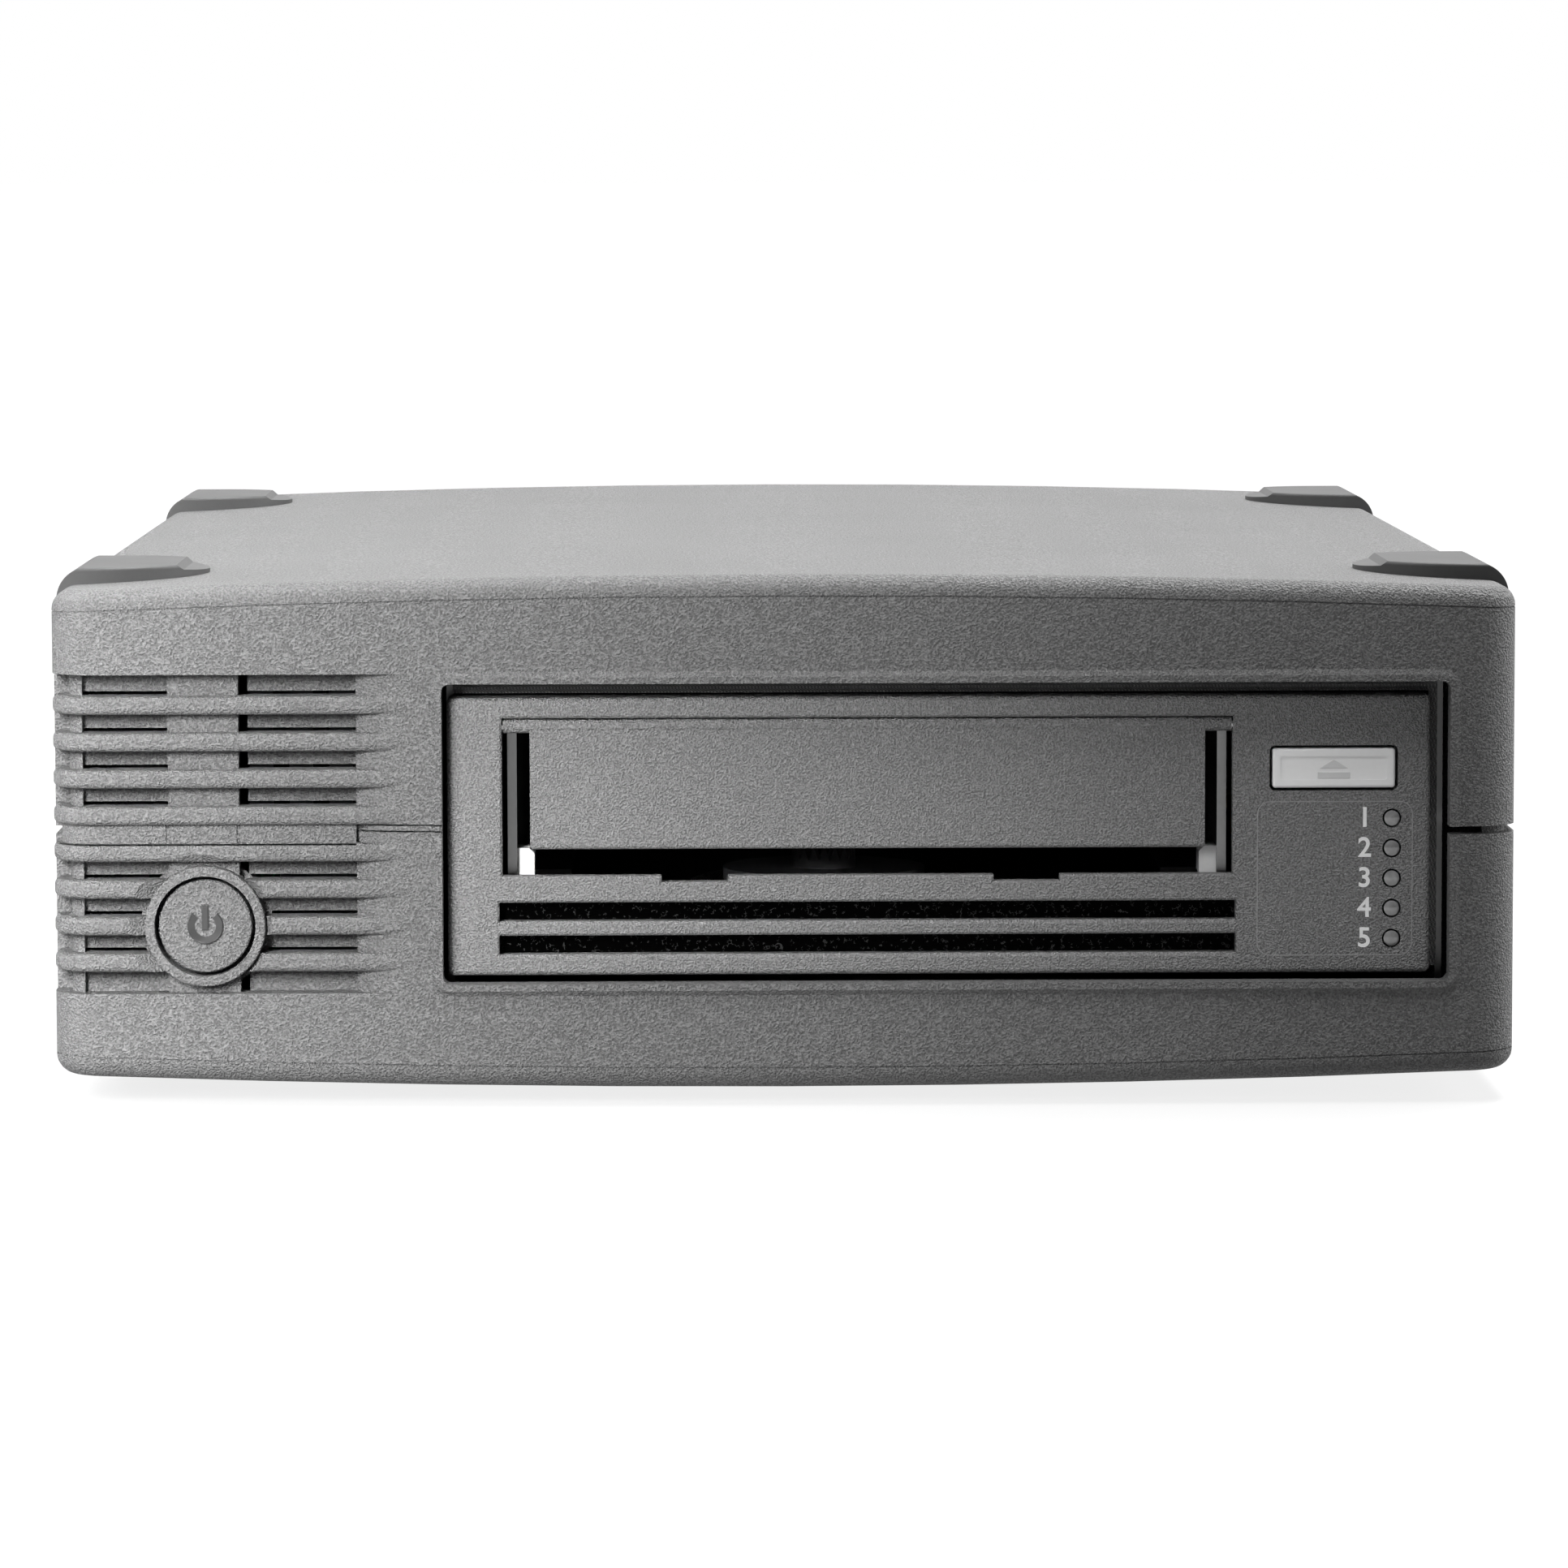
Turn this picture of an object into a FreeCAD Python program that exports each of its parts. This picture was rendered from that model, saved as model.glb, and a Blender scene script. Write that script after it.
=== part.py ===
import FreeCAD, Part
import math
import os
from FreeCAD import Vector as V

# Table-top data tape drive: a half-height cartridge drive in a two-part moulded housing.
# Frame: X to the right seen from the front, Y to the back, Z up; z = 0 is the surface under the feet.
# All sizes in millimetres.

# ---- housing ----
HOUSING_W = 220.0
HOUSING_L = 280.0
SHELL_H = 77.4            # at the middle of the arched top and bottom
FOOT_DROP = 2.7           # feet below the lowest line of the shell
CROWN_RISE = 2.25         # arch of the top and of the bottom over the whole width
WALL = 3.0
EDGE_R = 3.0
CORNER_R = 6.5
CREASE_DROP = 3.1         # shadow line below the rounded top edge
CREASE = 0.2              # height and depth of that line
SEAM_GAP = 1.2            # open height of the joint between the shells
SEAM_DEPTH = 1.5
SEAM_RIGHT_END = 5.3      # the joint is open right through from the drive to here from the side
SEAM_LINE = 0.25          # fine lines beside the vents, where the joint is closed
SEAM_LINE_RISES = (0.25, 1.2)
SEAM_LINE_DEPTH = 0.8

# ---- half-height drive and its opening ----
BEZEL_W = 148.0
BEZEL_H = 42.0
BEZEL_SIDE = 12.8         # bezel from the right side of the housing
BEZEL_DROP = 0.9          # middle of the bezel below the middle of the shell
BEZEL_SET = 4.0           # bezel face behind the housing's front face
BEZEL_D = 6.0
BEZEL_T = 3.0
BEZEL_EDGE_R = 0.8
BEZEL_SKIRT_T = 1.8
GAP_LEFT = 0.6            # opening beyond the bezel, side by side
GAP_RIGHT = 2.45
GAP_TOP = 2.4
GAP_BOTTOM = 0.8
RIM_RISE = 0.7            # raised rim round the opening
RIM_FLAT = 1.0
RIM_SLOPE = 0.8
RIM_R = 1.2

# ---- cartridge slot and door ----
SLOT_SHIFT = 10.75        # middle of the slot, left of the middle of the bezel
SLOT_W = 110.0
SLOT_H = 23.9
SLOT_TOP = 58.4
SLOT_FLARE = 0.3          # bevel round the openings of the bezel
NOTCH_W = 10.0
NOTCH_H = 0.95
NOTCH_X = 25.0            # each notch from the middle of the pair
NOTCH_SHIFT = 1.05        # middle of the pair, left of the middle of the slot
DOOR_SIDE = 4.2           # flap narrower than the slot at each side
DOOR_H = 19.9
DOOR_T = 1.8
DOOR_AXIS_SET = 1.6       # hinge axis behind the bezel face
DOOR_BARREL_R = 1.1
DOOR_EDGE_R = 0.6
DOOR_TOP_GAP = 0.15
PIN_R = 0.8
PIN_PLAY = 0.05
PIN_HOLD = 3.0            # pin held in the bezel at each end
SIDE_PLAY = 0.2

# ---- bezel vents, eject button, lamps ----
BEZEL_VENT_W = 111.0
BEZEL_VENT_H = 2.9
BEZEL_VENT_Z = (29.1, 24.1)
VENT_LIP = 0.55
FILTER_T = 1.5
FILTER_LAP = 1.0
EJECT_SIDE = 14.6         # middle of the key from the right end of the bezel
EJECT_Z = 50.5
EJECT_W = 18.45
EJECT_H = 5.95
EJECT_GAP = 0.45
EJECT_PROUD = 0.3
EJECT_R = 0.45
EJECT_FRAME = 1.2         # rim round the shallow dish of the key
EJECT_DISH = 0.2
EJECT_TRAVEL = 0.8
EJECT_T = 4.2
EJECT_STEM_R = 1.5
LAMP_SIDE = 5.8           # lamps from the right end of the bezel
LAMP_Z = 42.9             # top lamp
LAMP_PITCH = 4.55
LAMP_COUNT = 5
LAMP_R = 1.15
LAMP_PLAY = 0.28
LAMP_PROUD = 0.35

# ---- air vents of the housing ----
VENT_DEPTH = 2.5
VENT_HALF = 24.0          # vent field above and below the middle of the shell
RIB_PITCH = 5.53
RIB_H = 2.75
RIB_R = 0.9
RIBS_PER_SHELL = 4
RAMP_START_SET = 12.9     # ramp beside the opening for the drive
RAMP_END_SET = 4.3
SIDE_END = 9.0            # vent field round the corner, back from the front face
PAN_T = 1.95
WINDOW_SIDE = 4.7         # first window from the left side of the housing
BAR_LEFT = 5.5            # solid bar between the windows, each way from the middle of the button
BAR_RIGHT = 5.1
BAR_LINE = 0.3
SEAM_ROW_DEPTH = 1.2
SKIRT_DROP = 1.45         # upper shell reaches below the seam inside the vent field
SKIRT_SHADE = 0.9         # recess of the bar below that edge
BAFFLE_T = 1.0
BAFFLE_SLOT = 0.55
BAFFLE_SIDE_SLOT = 1.3
BAFFLE_LAP = 1.0          # baffle beyond the windows

# ---- power button ----
BUTTON_SHARE = 0.4        # share of the vent field's width, from the first window
BUTTON_DROP = 13.85       # below the middle of the shell
BUTTON_R = 7.0
BUTTON_GAP = 0.6
BUTTON_SET = 0.9
BUTTON_EDGE_R = 0.4
BUTTON_TRAVEL = 1.5
BUTTON_FLANGE_R = 8.4
BUTTON_FLANGE_T = 1.0
BUTTON_STEM_R = 1.5
BUTTON_REST = 0.3         # flange behind the vent pan when the button is out
COLLAR_R = 9.05
COLLAR_EDGE_R = 0.3
DISH_R = 10.9             # round dip in the ribs about the collar, at the face
DISH_SHIFT = 1.1
DISH_DEPTH = 1.6
GUIDE_SPACE = 0.5         # round the flange, and behind it when the button is pressed
GUIDE_T = 1.0
GUIDE_PLAY = 0.15
BOARD_T = 1.6
SWITCH_SIZE = 6.0
SWITCH_D = 3.5
PLUNGER_R = 1.75
PLUNGER_PLAY = 0.15
PLUNGER_OUT = 1.6
PLUNGER_SPARE = 0.3       # room behind the plunger when it is pressed
POWER_BOARD_SET = 20.8    # board's front face behind the housing's front face
POWER_BOARD_W = 20.0
POWER_BOARD_H = 20.0
STANDOFF_R = 1.5
STANDOFF_REACH = 7.5

# ---- stacking pads and feet ----
PAD_L = 33.4
PAD_FRONT_SET = 15.8      # front pads from the front
PAD_REAR_SET = 22.1       # rear pads from the back
PAD_TOP = 80.45
PAD_PROUD = 0.2
PAD_SHOULDER = 3.6        # rounded flank, across and down
PAD_FLANK_H = 4.75
PAD_INNER_SET = 17.4      # inner end of the flat top from the side of the housing
PAD_STEP = 1.0            # slope between the flat top and the low rim
PAD_TAB_SET = 21.6        # inner end of the low rim
PAD_TAB_DROP = 0.8
PAD_TAB_FALL = 0.4
PAD_FRONT_R = 20.4        # inner end in plan: one large and one smaller quarter round
PAD_EDGE_R = 0.5
FOOT_R = 8.0
FOOT_SIDE = 22.0          # feet from the sides, the front and the back of the housing
FOOT_FRONT_SET = 58.0
FOOT_REAR_SET = 48.0
FOOT_POCKET = 1.0
FOOT_PLAY = 0.15
FOOT_EDGE_R = 1.0

# ---- sheet-metal cage and gasket ----
SHEET_T = 1.0
CAGE_GAP = 0.3            # cage behind the bezel
GASKET_SET = 9.0          # gasket behind the housing's front face
CAGE_SIDE_GAP = 0.2       # cage beside the drive, on the left
CAGE_TOP_GAP = 2.25       # cage top above the drive
CAGE_L = 190.0
CAGE_Z = 16.0
CAGE_BOSS_SETS = (49.65, 184.65)
FLANGE_W = 7.5
FLANGE_SET = 30.0         # foot flanges start behind the cage's front edge
GASKET_D = 6.0
GASKET_T = 1.5
GASKET_SIDE_T = 1.3

# ---- drive chassis ----
DRIVE_W = 146.0
DRIVE_H = 41.1
DRIVE_L = 200.0
DRIVE_SCREW_SETS = (41.4, 120.7)
DRIVE_SCREW_RISE = 21.8
CAGE_DIMPLE_R = 5.0
CAST_T = 4.0
CAST_FLOOR_Z = 3.0        # underside of the casting's floor above the drive's underside
CAST_FLOOR_T = 3.0
COVER_T = 1.0
DRIVE_BOARD_INSET = 1.0
DRIVE_BOARD_SET = 12.0
FRONT_BOARD_SET = 3.0     # lamp board behind the bezel
FRONT_BOARD_SIDE = 10.6
EJECT_SWITCH_D = 2.0
CONNECTOR_INSET = 1.5
CONNECTOR_W = 28.0
CONNECTOR_H = 9.0
CONNECTOR_D = 8.0
CONNECTOR_WALL = 2.0

# ---- cartridge carriage and loader ----
CART_W = 105.4
CART_PLAY = 0.15          # cartridge to carriage, each side
RAIL_T = 1.4
RAIL_TOP = 57.8
RAIL_HOOK = 1.5
CARRIAGE_SET = 1.0        # carriage front behind the bezel plate
CARRIAGE_L = 94.0
LEDGE_T = 1.0
LEDGE_W = 8.0
LEDGE_TOP = 34.3
BRIDGE_L = 22.0
CARRIAGE_TRAVEL = 20.0
SLIDE_PLAY = 0.15
SLIDE_SET = 6.0           # slides of the casting start behind the carriage's front end
SLIDE_W = 4.0
LEDGE_SET = 8.0
SHOE_W = 2.6
SHOE_H = 4.1
SHOE_L = 6.0
SHOE_RISE = 0.9
SHOE_BEVEL = 0.8
PINION_TEETH = 15
GEAR_MODULE = 0.8
TOOTH_SHARE = 0.34        # tooth width at mid height over the pitch
TOOTH_TAPER = 0.12        # more at the root and less at the tip
TOOTH_ROOT = 1.1          # root and tip from the pitch line, in modules
TOOTH_TIP = 0.7
TOOTH_BITE = 0.4
PINION_H = 6.0
PINION_Y = 60.0           # pinion behind the housing's front face
RACK_Z = 36.5
RACK_H = 4.0
RACK_BACK = 1.6
RACK_SPARE = 12.0         # toothed length beyond the travel
POST_R = 1.5
RUN_PLAY = 0.05
GEARBOX_SIDE = 5.0        # from the pinion's axis towards the rack
GEARBOX_FRONT = 14.0
GEARBOX_REAR = 26.0
MOTOR_R = 7.5
MOTOR_L = 22.0
MOTOR_CAP_R = 2.5
MOTOR_CAP_L = 2.0

# ---- reels, rollers and head ----
HUB_SHIFT = 5.65          # reel motor left of the middle of the slot
HUB_Y = 60.0              # and behind the housing's front face
HUB_R = 16.0
HUB_TOP = 30.1
CROWN_OUT_R = 5.0
CROWN_IN_R = 3.2
CROWN_RING = 1.2          # plain ring under the teeth
CROWN_TOOTH_H = 2.3
CROWN_TEETH = 18
STATOR_R = 21.0
STATOR_T = 2.0
REEL_SHIFT = 21.8         # take-up reel right of the middle of the bezel
REEL_SET = 167.65         # and behind the housing's front face
REEL_R = 36.0
REEL_HUB_R = 20.0
REEL_FLANGE_T = 1.2
REEL_TAPE_H = 13.2
REEL_LIFT = 0.6
REEL_WINDOWS = 3
REEL_WINDOW_R = 4.5
REEL_WINDOW_AT = 28.0
ROLLER_FOOT_R = 3.0
ROTOR_GAP = 0.3
ROLLER_PLACES = ((-81.0, -37.0), (-79.0, -20.0), (-69.0, 22.0), (-51.0, 28.0))   # from the reel's axis
ROLLER_R = 6.0
ROLLER_FLANGE_R = 7.2
ROLLER_FLANGE_T = 1.1
HEAD_SIDE = 11.3          # head from the left side of the drive
HEAD_SHIFT = 1.0          # and behind the reel's axis
HEAD_ROD_PITCH = 14.0
HEAD_ROD_R = 1.0
HEAD_TOP = 52.0
HEAD_SLIDE_T = 2.6         # half thickness of the sliding block round its rods
HEAD_SLIDE_H = 10.0
HEAD_NOSE_R = 2.5
HEAD_PLATE_T = 3.0
HEAD_BRIDGE_T = 2.0
HEAD_WALL_GAP = 0.3
HEAD_BLOCK = (6.5, 8.0, 13.0)

# ---- power supply ----
PSU_SIDE = 6.0            # case from the left side of the housing
PSU_CAGE_GAP = 9.0
PSU_SET = 54.65           # and behind the front face
PSU_L = 150.0
PSU_Z0 = 12.0
PSU_H = 60.0
PSU_T = 0.8
PSU_TAB = 8.0
PSU_BOARD_LIFT = 4.0
PSU_SCREW_INSET = 8.0
PSU_BOARD_X_INSET = 2.0
PSU_BOARD_Y_INSET = 3.0
PSU_STUD_R = 2.5
PSU_STUD_X_INSET = 5.0
PSU_STUD_Y_INSET = 8.0
PSU_SLOTS = 6
PSU_SLOT_W = 2.6
TRANSFORMER = (0.64, 30.0, 26.0)      # share of the width, length, height
HEAT_SINK = (0.06, 45.0, 32.0)
CHOKE = (0.45, 18.0, 18.0)
CAPACITOR_R = 0.148       # share of the width
CAPACITOR_H = 24.0

# ---- rear panel and what it carries ----
PANEL_T = 1.2
PANEL_FRAME = 5.0         # housing wall left round the rear panel
PANEL_LAP = 2.4           # panel behind the frame, above and below
PANEL_LAP_SIDE = 1.4
PANEL_HOLE_R = 3.0        # corners of the housing's rear opening
PANEL_SCREW_SIDE = 4.5    # screws from the edges of that opening and from the top and bottom
PANEL_SCREW_RISE = 14.0
PANEL_BOSS_L = 10.0
FAN_SIDE = 90.0           # fan from the right side of the housing
FAN_SIZE = 60.0
FAN_D = 25.0
FAN_HOLE_PITCH = 50.0
FAN_BORE_R = 28.5
FAN_TIP_GAP = 1.0
FAN_HUB_R = 15.0
FAN_BLADES = 7
FAN_SHAFT_R = 1.5
FAN_BASE_T = 3.0
FAN_AXLE_SET = 5.0
FAN_CORNER_R = 3.0
FAN_WALL = 2.0
FAN_RIM_L = 4.0
FAN_STRUTS = 4
FAN_STRUT_W = 2.4
FAN_HUB_EDGE_R = 1.5
FAN_END_GAPS = (2.0, 0.5)
FAN_BLADE_T = 1.2
FAN_ROOT = (50.0, 17.0)   # lean in degrees and chord at the hub
FAN_TIP = (62.0, 20.0)    # and at the tip
GRILLE_SLOT = 2.8
GRILLE_PITCH = 5.6
INLET_SIDE = 30.0         # inlet from the left side of the housing
INLET_Z = 34.0
INLET_W = 27.0
INLET_H = 19.8
INLET_CAVITY_W = 24.4
INLET_CAVITY_H = 16.4
INLET_CAVITY_D = 17.0
INLET_FLANGE = 2.0
INLET_DEPTH = 21.0
INLET_LAP = 2.0
INLET_BEVEL = 4.0
BLADE_W = 2.0
BLADE_H = 4.0
BLADE_L = 14.0
BLADE_PITCH = 14.0
BLADE_RISE = 4.0
PORT_SIDES = (44.0, 22.0)  # data ports from the right side
PORT_W = 15.6
PORT_H = 11.0
PORT_T = 1.2
PORT_SET = 8.0            # ports behind the front edge of their board
PORT_PROUD = 1.4
PORT_BACK_T = 3.0
PORT_TONGUE_T = 1.2
PORT_TONGUE_INSET = 3.0
PORT_TONGUE_SET = 8.0
PORT_PLAY = 0.2
PORT_BOARD_Z = 24.0
PORT_BOARD_SIDES = (56.0, 10.4)
PORT_BOARD_SHARE = 0.5    # front edge of the board on the way from the drive to the rear panel
PORT_BOARD_BACK = 2.0     # in front of the rear panel

BRACE_PITCH = 40.0
BRACE_COUNT = 4
BRACE_T = 1.8
BRACE_INSET = 10.0
BRACE_GAP = 2.0

# ---- fasteners ----
SCREW_R = 1.5
SCREW_HEAD_R = 2.9
SCREW_HEAD_H = 1.8
SCREW_HEAD_ROUND = 0.7
BOSS_R = 3.5
BOSS_HOLE = 6.0
SCREW_EDGE = 4.0          # board screws from the edges of their board
SHELL_BOSS_R = 3.4
BOSS_BITE = 0.4           # boss runs into the side wall
SHELL_BOSS_FRONT_SET = 32.0
SHELL_BOSS_REAR_SET = 24.0
SHELL_SCREW_GRIP = 10.0
SHELL_SCREW_L = 14.0
REAR_SCREW_L = 8.0
SHORT_SCREW_L = 6.0

# ---- places worked out from the sizes ----
LEFT = -HOUSING_W / 2
RIGHT = HOUSING_W / 2
FRONT = -HOUSING_L / 2 + RIM_RISE / 2
BACK = FRONT + HOUSING_L
SHELL_BOTTOM = FOOT_DROP
SHELL_TOP = SHELL_BOTTOM + SHELL_H
MID_Z = (SHELL_BOTTOM + SHELL_TOP) / 2
SHELL_SCREW_Z = MID_Z - SHELL_SCREW_GRIP
BEZEL_FACE = FRONT + BEZEL_SET
BEZEL_BACK = BEZEL_FACE + BEZEL_D
BEZEL_X1 = RIGHT - BEZEL_SIDE
BEZEL_X0 = BEZEL_X1 - BEZEL_W
BEZEL_X = (BEZEL_X0 + BEZEL_X1) / 2
BEZEL_Z = MID_Z - BEZEL_DROP
BEZEL_Z0 = BEZEL_Z - BEZEL_H / 2
BEZEL_Z1 = BEZEL_Z + BEZEL_H / 2
OPEN_X0 = BEZEL_X0 - GAP_LEFT
OPEN_X1 = BEZEL_X1 + GAP_RIGHT
OPEN_Z0 = BEZEL_Z0 - GAP_BOTTOM
OPEN_Z1 = BEZEL_Z1 + GAP_TOP
SLOT_X = BEZEL_X - SLOT_SHIFT
DOOR_W = SLOT_W - 2 * DOOR_SIDE
EJECT_X = BEZEL_X1 - EJECT_SIDE
LAMP_X = BEZEL_X1 - LAMP_SIDE
RAMP_START = OPEN_X0 - RAMP_START_SET
RAMP_END = OPEN_X0 - RAMP_END_SET
SEAM_OPEN_TO = RIGHT - SEAM_RIGHT_END
SKIRT_Z = MID_Z - SKIRT_DROP
BUTTON_X = LEFT + WINDOW_SIDE + BUTTON_SHARE * (RAMP_START - LEFT)
BUTTON_Z = MID_Z - BUTTON_DROP
WINDOWS = ((LEFT + WINDOW_SIDE, BUTTON_X - BAR_LEFT), (BUTTON_X + BAR_RIGHT, RAMP_START))
PAN_DEPTH = VENT_DEPTH + PAN_T
PAN_BACK = FRONT + PAN_DEPTH
PAD_INSETS = (PAD_FRONT_SET, HOUSING_L - PAD_REAR_SET - PAD_L)
FOOT_X = RIGHT - FOOT_SIDE
FOOT_INSETS = (FOOT_FRONT_SET, HOUSING_L - FOOT_REAR_SET)
SHELL_BOSS_INSETS = (SHELL_BOSS_FRONT_SET, HOUSING_L - SHELL_BOSS_REAR_SET)
DRIVE_X0 = BEZEL_X - DRIVE_W / 2
DRIVE_X1 = BEZEL_X + DRIVE_W / 2
DRIVE_Z0 = BEZEL_Z - DRIVE_H / 2
DRIVE_Z1 = BEZEL_Z + DRIVE_H / 2
DRIVE_Y0 = BEZEL_BACK
DRIVE_Y1 = DRIVE_Y0 + DRIVE_L
DECK_Z = DRIVE_Z0 + CAST_FLOOR_Z + CAST_FLOOR_T
CARRIAGE_X0 = SLOT_X - CART_W / 2 - CART_PLAY
CARRIAGE_X1 = SLOT_X + CART_W / 2 + CART_PLAY
CARRIAGE_Y0 = BEZEL_FACE + BEZEL_T + CARRIAGE_SET
PANEL_Y1 = BACK - WALL
PANEL_Y0 = PANEL_Y1 - PANEL_T
CAGE_X0 = DRIVE_X0 - CAGE_SIDE_GAP - SHEET_T
CAGE_X1 = OPEN_X1
CAGE_TOP = DRIVE_Z1 + CAGE_TOP_GAP
CROWN_TOP = HUB_TOP + CROWN_RING + CROWN_TOOTH_H
HUB_X = SLOT_X - HUB_SHIFT
REEL_X = BEZEL_X + REEL_SHIFT
REEL_Y = FRONT + REEL_SET
ROLLERS = [(REEL_X + dx, REEL_Y + dy) for dx, dy in ROLLER_PLACES]
HEAD_X = DRIVE_X0 + HEAD_SIDE
HEAD_Y = REEL_Y + HEAD_SHIFT
PSU_X0 = LEFT + PSU_SIDE
PSU_W = CAGE_X0 - PSU_CAGE_GAP - PSU_X0
PSU_Y0 = FRONT + PSU_SET
FAN_X = RIGHT - FAN_SIDE
INLET_X = LEFT + INLET_SIDE
PORT_XS = [RIGHT - side for side in PORT_SIDES]
PORT_BOARD_X0, PORT_BOARD_X1 = [RIGHT - side for side in PORT_BOARD_SIDES]
PORT_BOARD_Y0 = DRIVE_Y1 + PORT_BOARD_SHARE * (PANEL_Y0 - DRIVE_Y1)
PORT_BOARD_Y1 = PANEL_Y0 - PORT_BOARD_BACK
DOOR_AXIS_Y = BEZEL_FACE + DOOR_AXIS_SET
DOOR_AXIS_Z = SLOT_TOP - DOOR_TOP_GAP - DOOR_BARREL_R
UP = V(0, 0, 1)
RIGHTWARD = V(1, 0, 0)
REARWARD = V(0, 1, 0)
BIG = 400.0


# ---- small helpers ----
def block(x0, x1, y0, y1, z0, z1):
    return Part.makeBox(x1 - x0, y1 - y0, z1 - z0, V(x0, y0, z0))


def rod(radius, start, along, length):
    return Part.makeCylinder(radius, length, start, along)


def tube(outer, inner, start, along, length):
    return rod(outer, start, along, length).cut(rod(inner, start, along, length))


def join(*shapes):
    return shapes[0].multiFuse(list(shapes[1:])).removeSplitter()


def outline(points):
    return Part.Face(Part.makePolygon(list(points) + [points[0]]))


def upright_edges(shape):
    return [e for e in shape.Edges if e.BoundBox.XLength < 1e-4 and e.BoundBox.YLength < 1e-4]


def edges_at_y(shape, y):
    return [e for e in shape.Edges if abs(e.BoundBox.YMin - y) < 1e-4 and abs(e.BoundBox.YMax - y) < 1e-4]


def edges_at_z(shape, z):
    return [e for e in shape.Edges if abs(e.BoundBox.ZMin - z) < 1e-4 and abs(e.BoundBox.ZMax - z) < 1e-4]


def edges_along_y(shape):
    return [e for e in shape.Edges if e.BoundBox.XLength < 1e-4 and e.BoundBox.ZLength < 1e-4]


def round_ended_slot(width, height, x, y0, y1, z):
    """Upright slot with round ends, running along Y."""
    slot = block(x - width / 2, x + width / 2, y0, y1, z - height / 2, z + height / 2)
    return slot.makeFillet(width / 2 - 0.01, edges_along_y(slot))


def screw(seat, along, length):
    """Pan-head screw: the seat is the underside of its head, along points down its shank."""
    shank = rod(SCREW_R, seat, along, length)
    head = rod(SCREW_HEAD_R, seat - along * SCREW_HEAD_H, along, SCREW_HEAD_H)
    far = max(head.Edges, key=lambda e: (seat - e.CenterOfMass).dot(along) + e.Length)
    head = head.makeFillet(SCREW_HEAD_ROUND, [far])
    return join(shank, head)


def save(name, shape):
    shape.exportStep("parts/" + name + ".step")


# ---- housing ----
def crowned_block(inset, corner_r):
    """Outline of the housing moved inwards: upright walls, arched top and bottom."""
    half = HOUSING_W / 2 - inset
    top = SHELL_TOP - inset
    bottom = SHELL_BOTTOM + inset
    y0 = FRONT + inset
    tl, tr = V(-half, y0, top - CROWN_RISE), V(half, y0, top - CROWN_RISE)
    bl, br = V(-half, y0, bottom + CROWN_RISE), V(half, y0, bottom + CROWN_RISE)
    wire = Part.Wire([
        Part.makeLine(bl, tl),
        Part.Arc(tl, V(0, y0, top), tr).toShape(),
        Part.makeLine(tr, br),
        Part.Arc(br, V(0, y0, bottom), bl).toShape(),
    ])
    body = Part.Face(wire).extrude(V(0, HOUSING_L - 2 * inset, 0))
    return body.makeFillet(corner_r, upright_edges(body))


def rounded_housing():
    body = crowned_block(0, CORNER_R)
    top_line = SHELL_TOP - CROWN_RISE - 0.01
    bottom_line = SHELL_BOTTOM + CROWN_RISE + 0.01
    rims = [e for e in body.Edges if e.BoundBox.ZMin > top_line or e.BoundBox.ZMax < bottom_line]
    return body.makeFillet(EDGE_R, rims)


def crown_layer(drop, thick):
    """Thin layer that follows the arched top at a given depth below it."""
    half = HOUSING_W / 2 + 1
    rise = CROWN_RISE
    z1 = SHELL_TOP - drop
    z0 = z1 - thick
    y0 = FRONT - 1
    wire = Part.Wire([
        Part.Arc(V(-half, y0, z1 - rise), V(0, y0, z1), V(half, y0, z1 - rise)).toShape(),
        Part.makeLine(V(half, y0, z1 - rise), V(half, y0, z0 - rise)),
        Part.Arc(V(half, y0, z0 - rise), V(0, y0, z0), V(-half, y0, z0 - rise)).toShape(),
        Part.makeLine(V(-half, y0, z0 - rise), V(-half, y0, z1 - rise)),
    ])
    return Part.Face(wire).extrude(V(0, HOUSING_L + 2, 0))


def creases(body):
    """Fine shadow line all round, under the rounded top edge and above the bottom one."""
    inner = crowned_block(CREASE, CORNER_R - CREASE)
    upper = crown_layer(CREASE_DROP, CREASE).cut(inner)
    lower = upper.mirror(V(0, 0, MID_Z), UP)
    return body.cut([upper, lower])


def rim():
    """Raised rim with sloped outer flanks round the opening for the drive."""
    def frame(grow, y, radius):
        x0, x1 = OPEN_X0 - grow, OPEN_X1 + grow
        z0, z1 = OPEN_Z0 - grow, OPEN_Z1 + grow
        face = outline([V(x0, y, z0), V(x1, y, z0), V(x1, y, z1), V(x0, y, z1)])
        solid = face.extrude(V(0, 1, 0))
        solid = solid.makeFillet(radius, edges_along_y(solid))
        return Part.Wire(Part.sortEdges(edges_at_y(solid, y))[0])
    foot = frame(RIM_FLAT + RIM_SLOPE, FRONT, RIM_R + RIM_FLAT + RIM_SLOPE)
    top = frame(RIM_FLAT, FRONT - RIM_RISE, RIM_R + RIM_FLAT)
    return Part.makeLoft([foot, top], True, True)


def opening(y0, y1):
    hole = block(OPEN_X0, OPEN_X1, y0, y1, OPEN_Z0, OPEN_Z1)
    return hole.makeFillet(RIM_R, edges_along_y(hole))


def rib_levels():
    """Middle heights of the vent ribs, from the seam outwards, upper ones first."""
    steps = [RIB_PITCH * (i + 0.5) for i in range(RIBS_PER_SHELL)]
    return [MID_Z + s for s in steps] + [MID_Z - s for s in steps]


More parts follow.
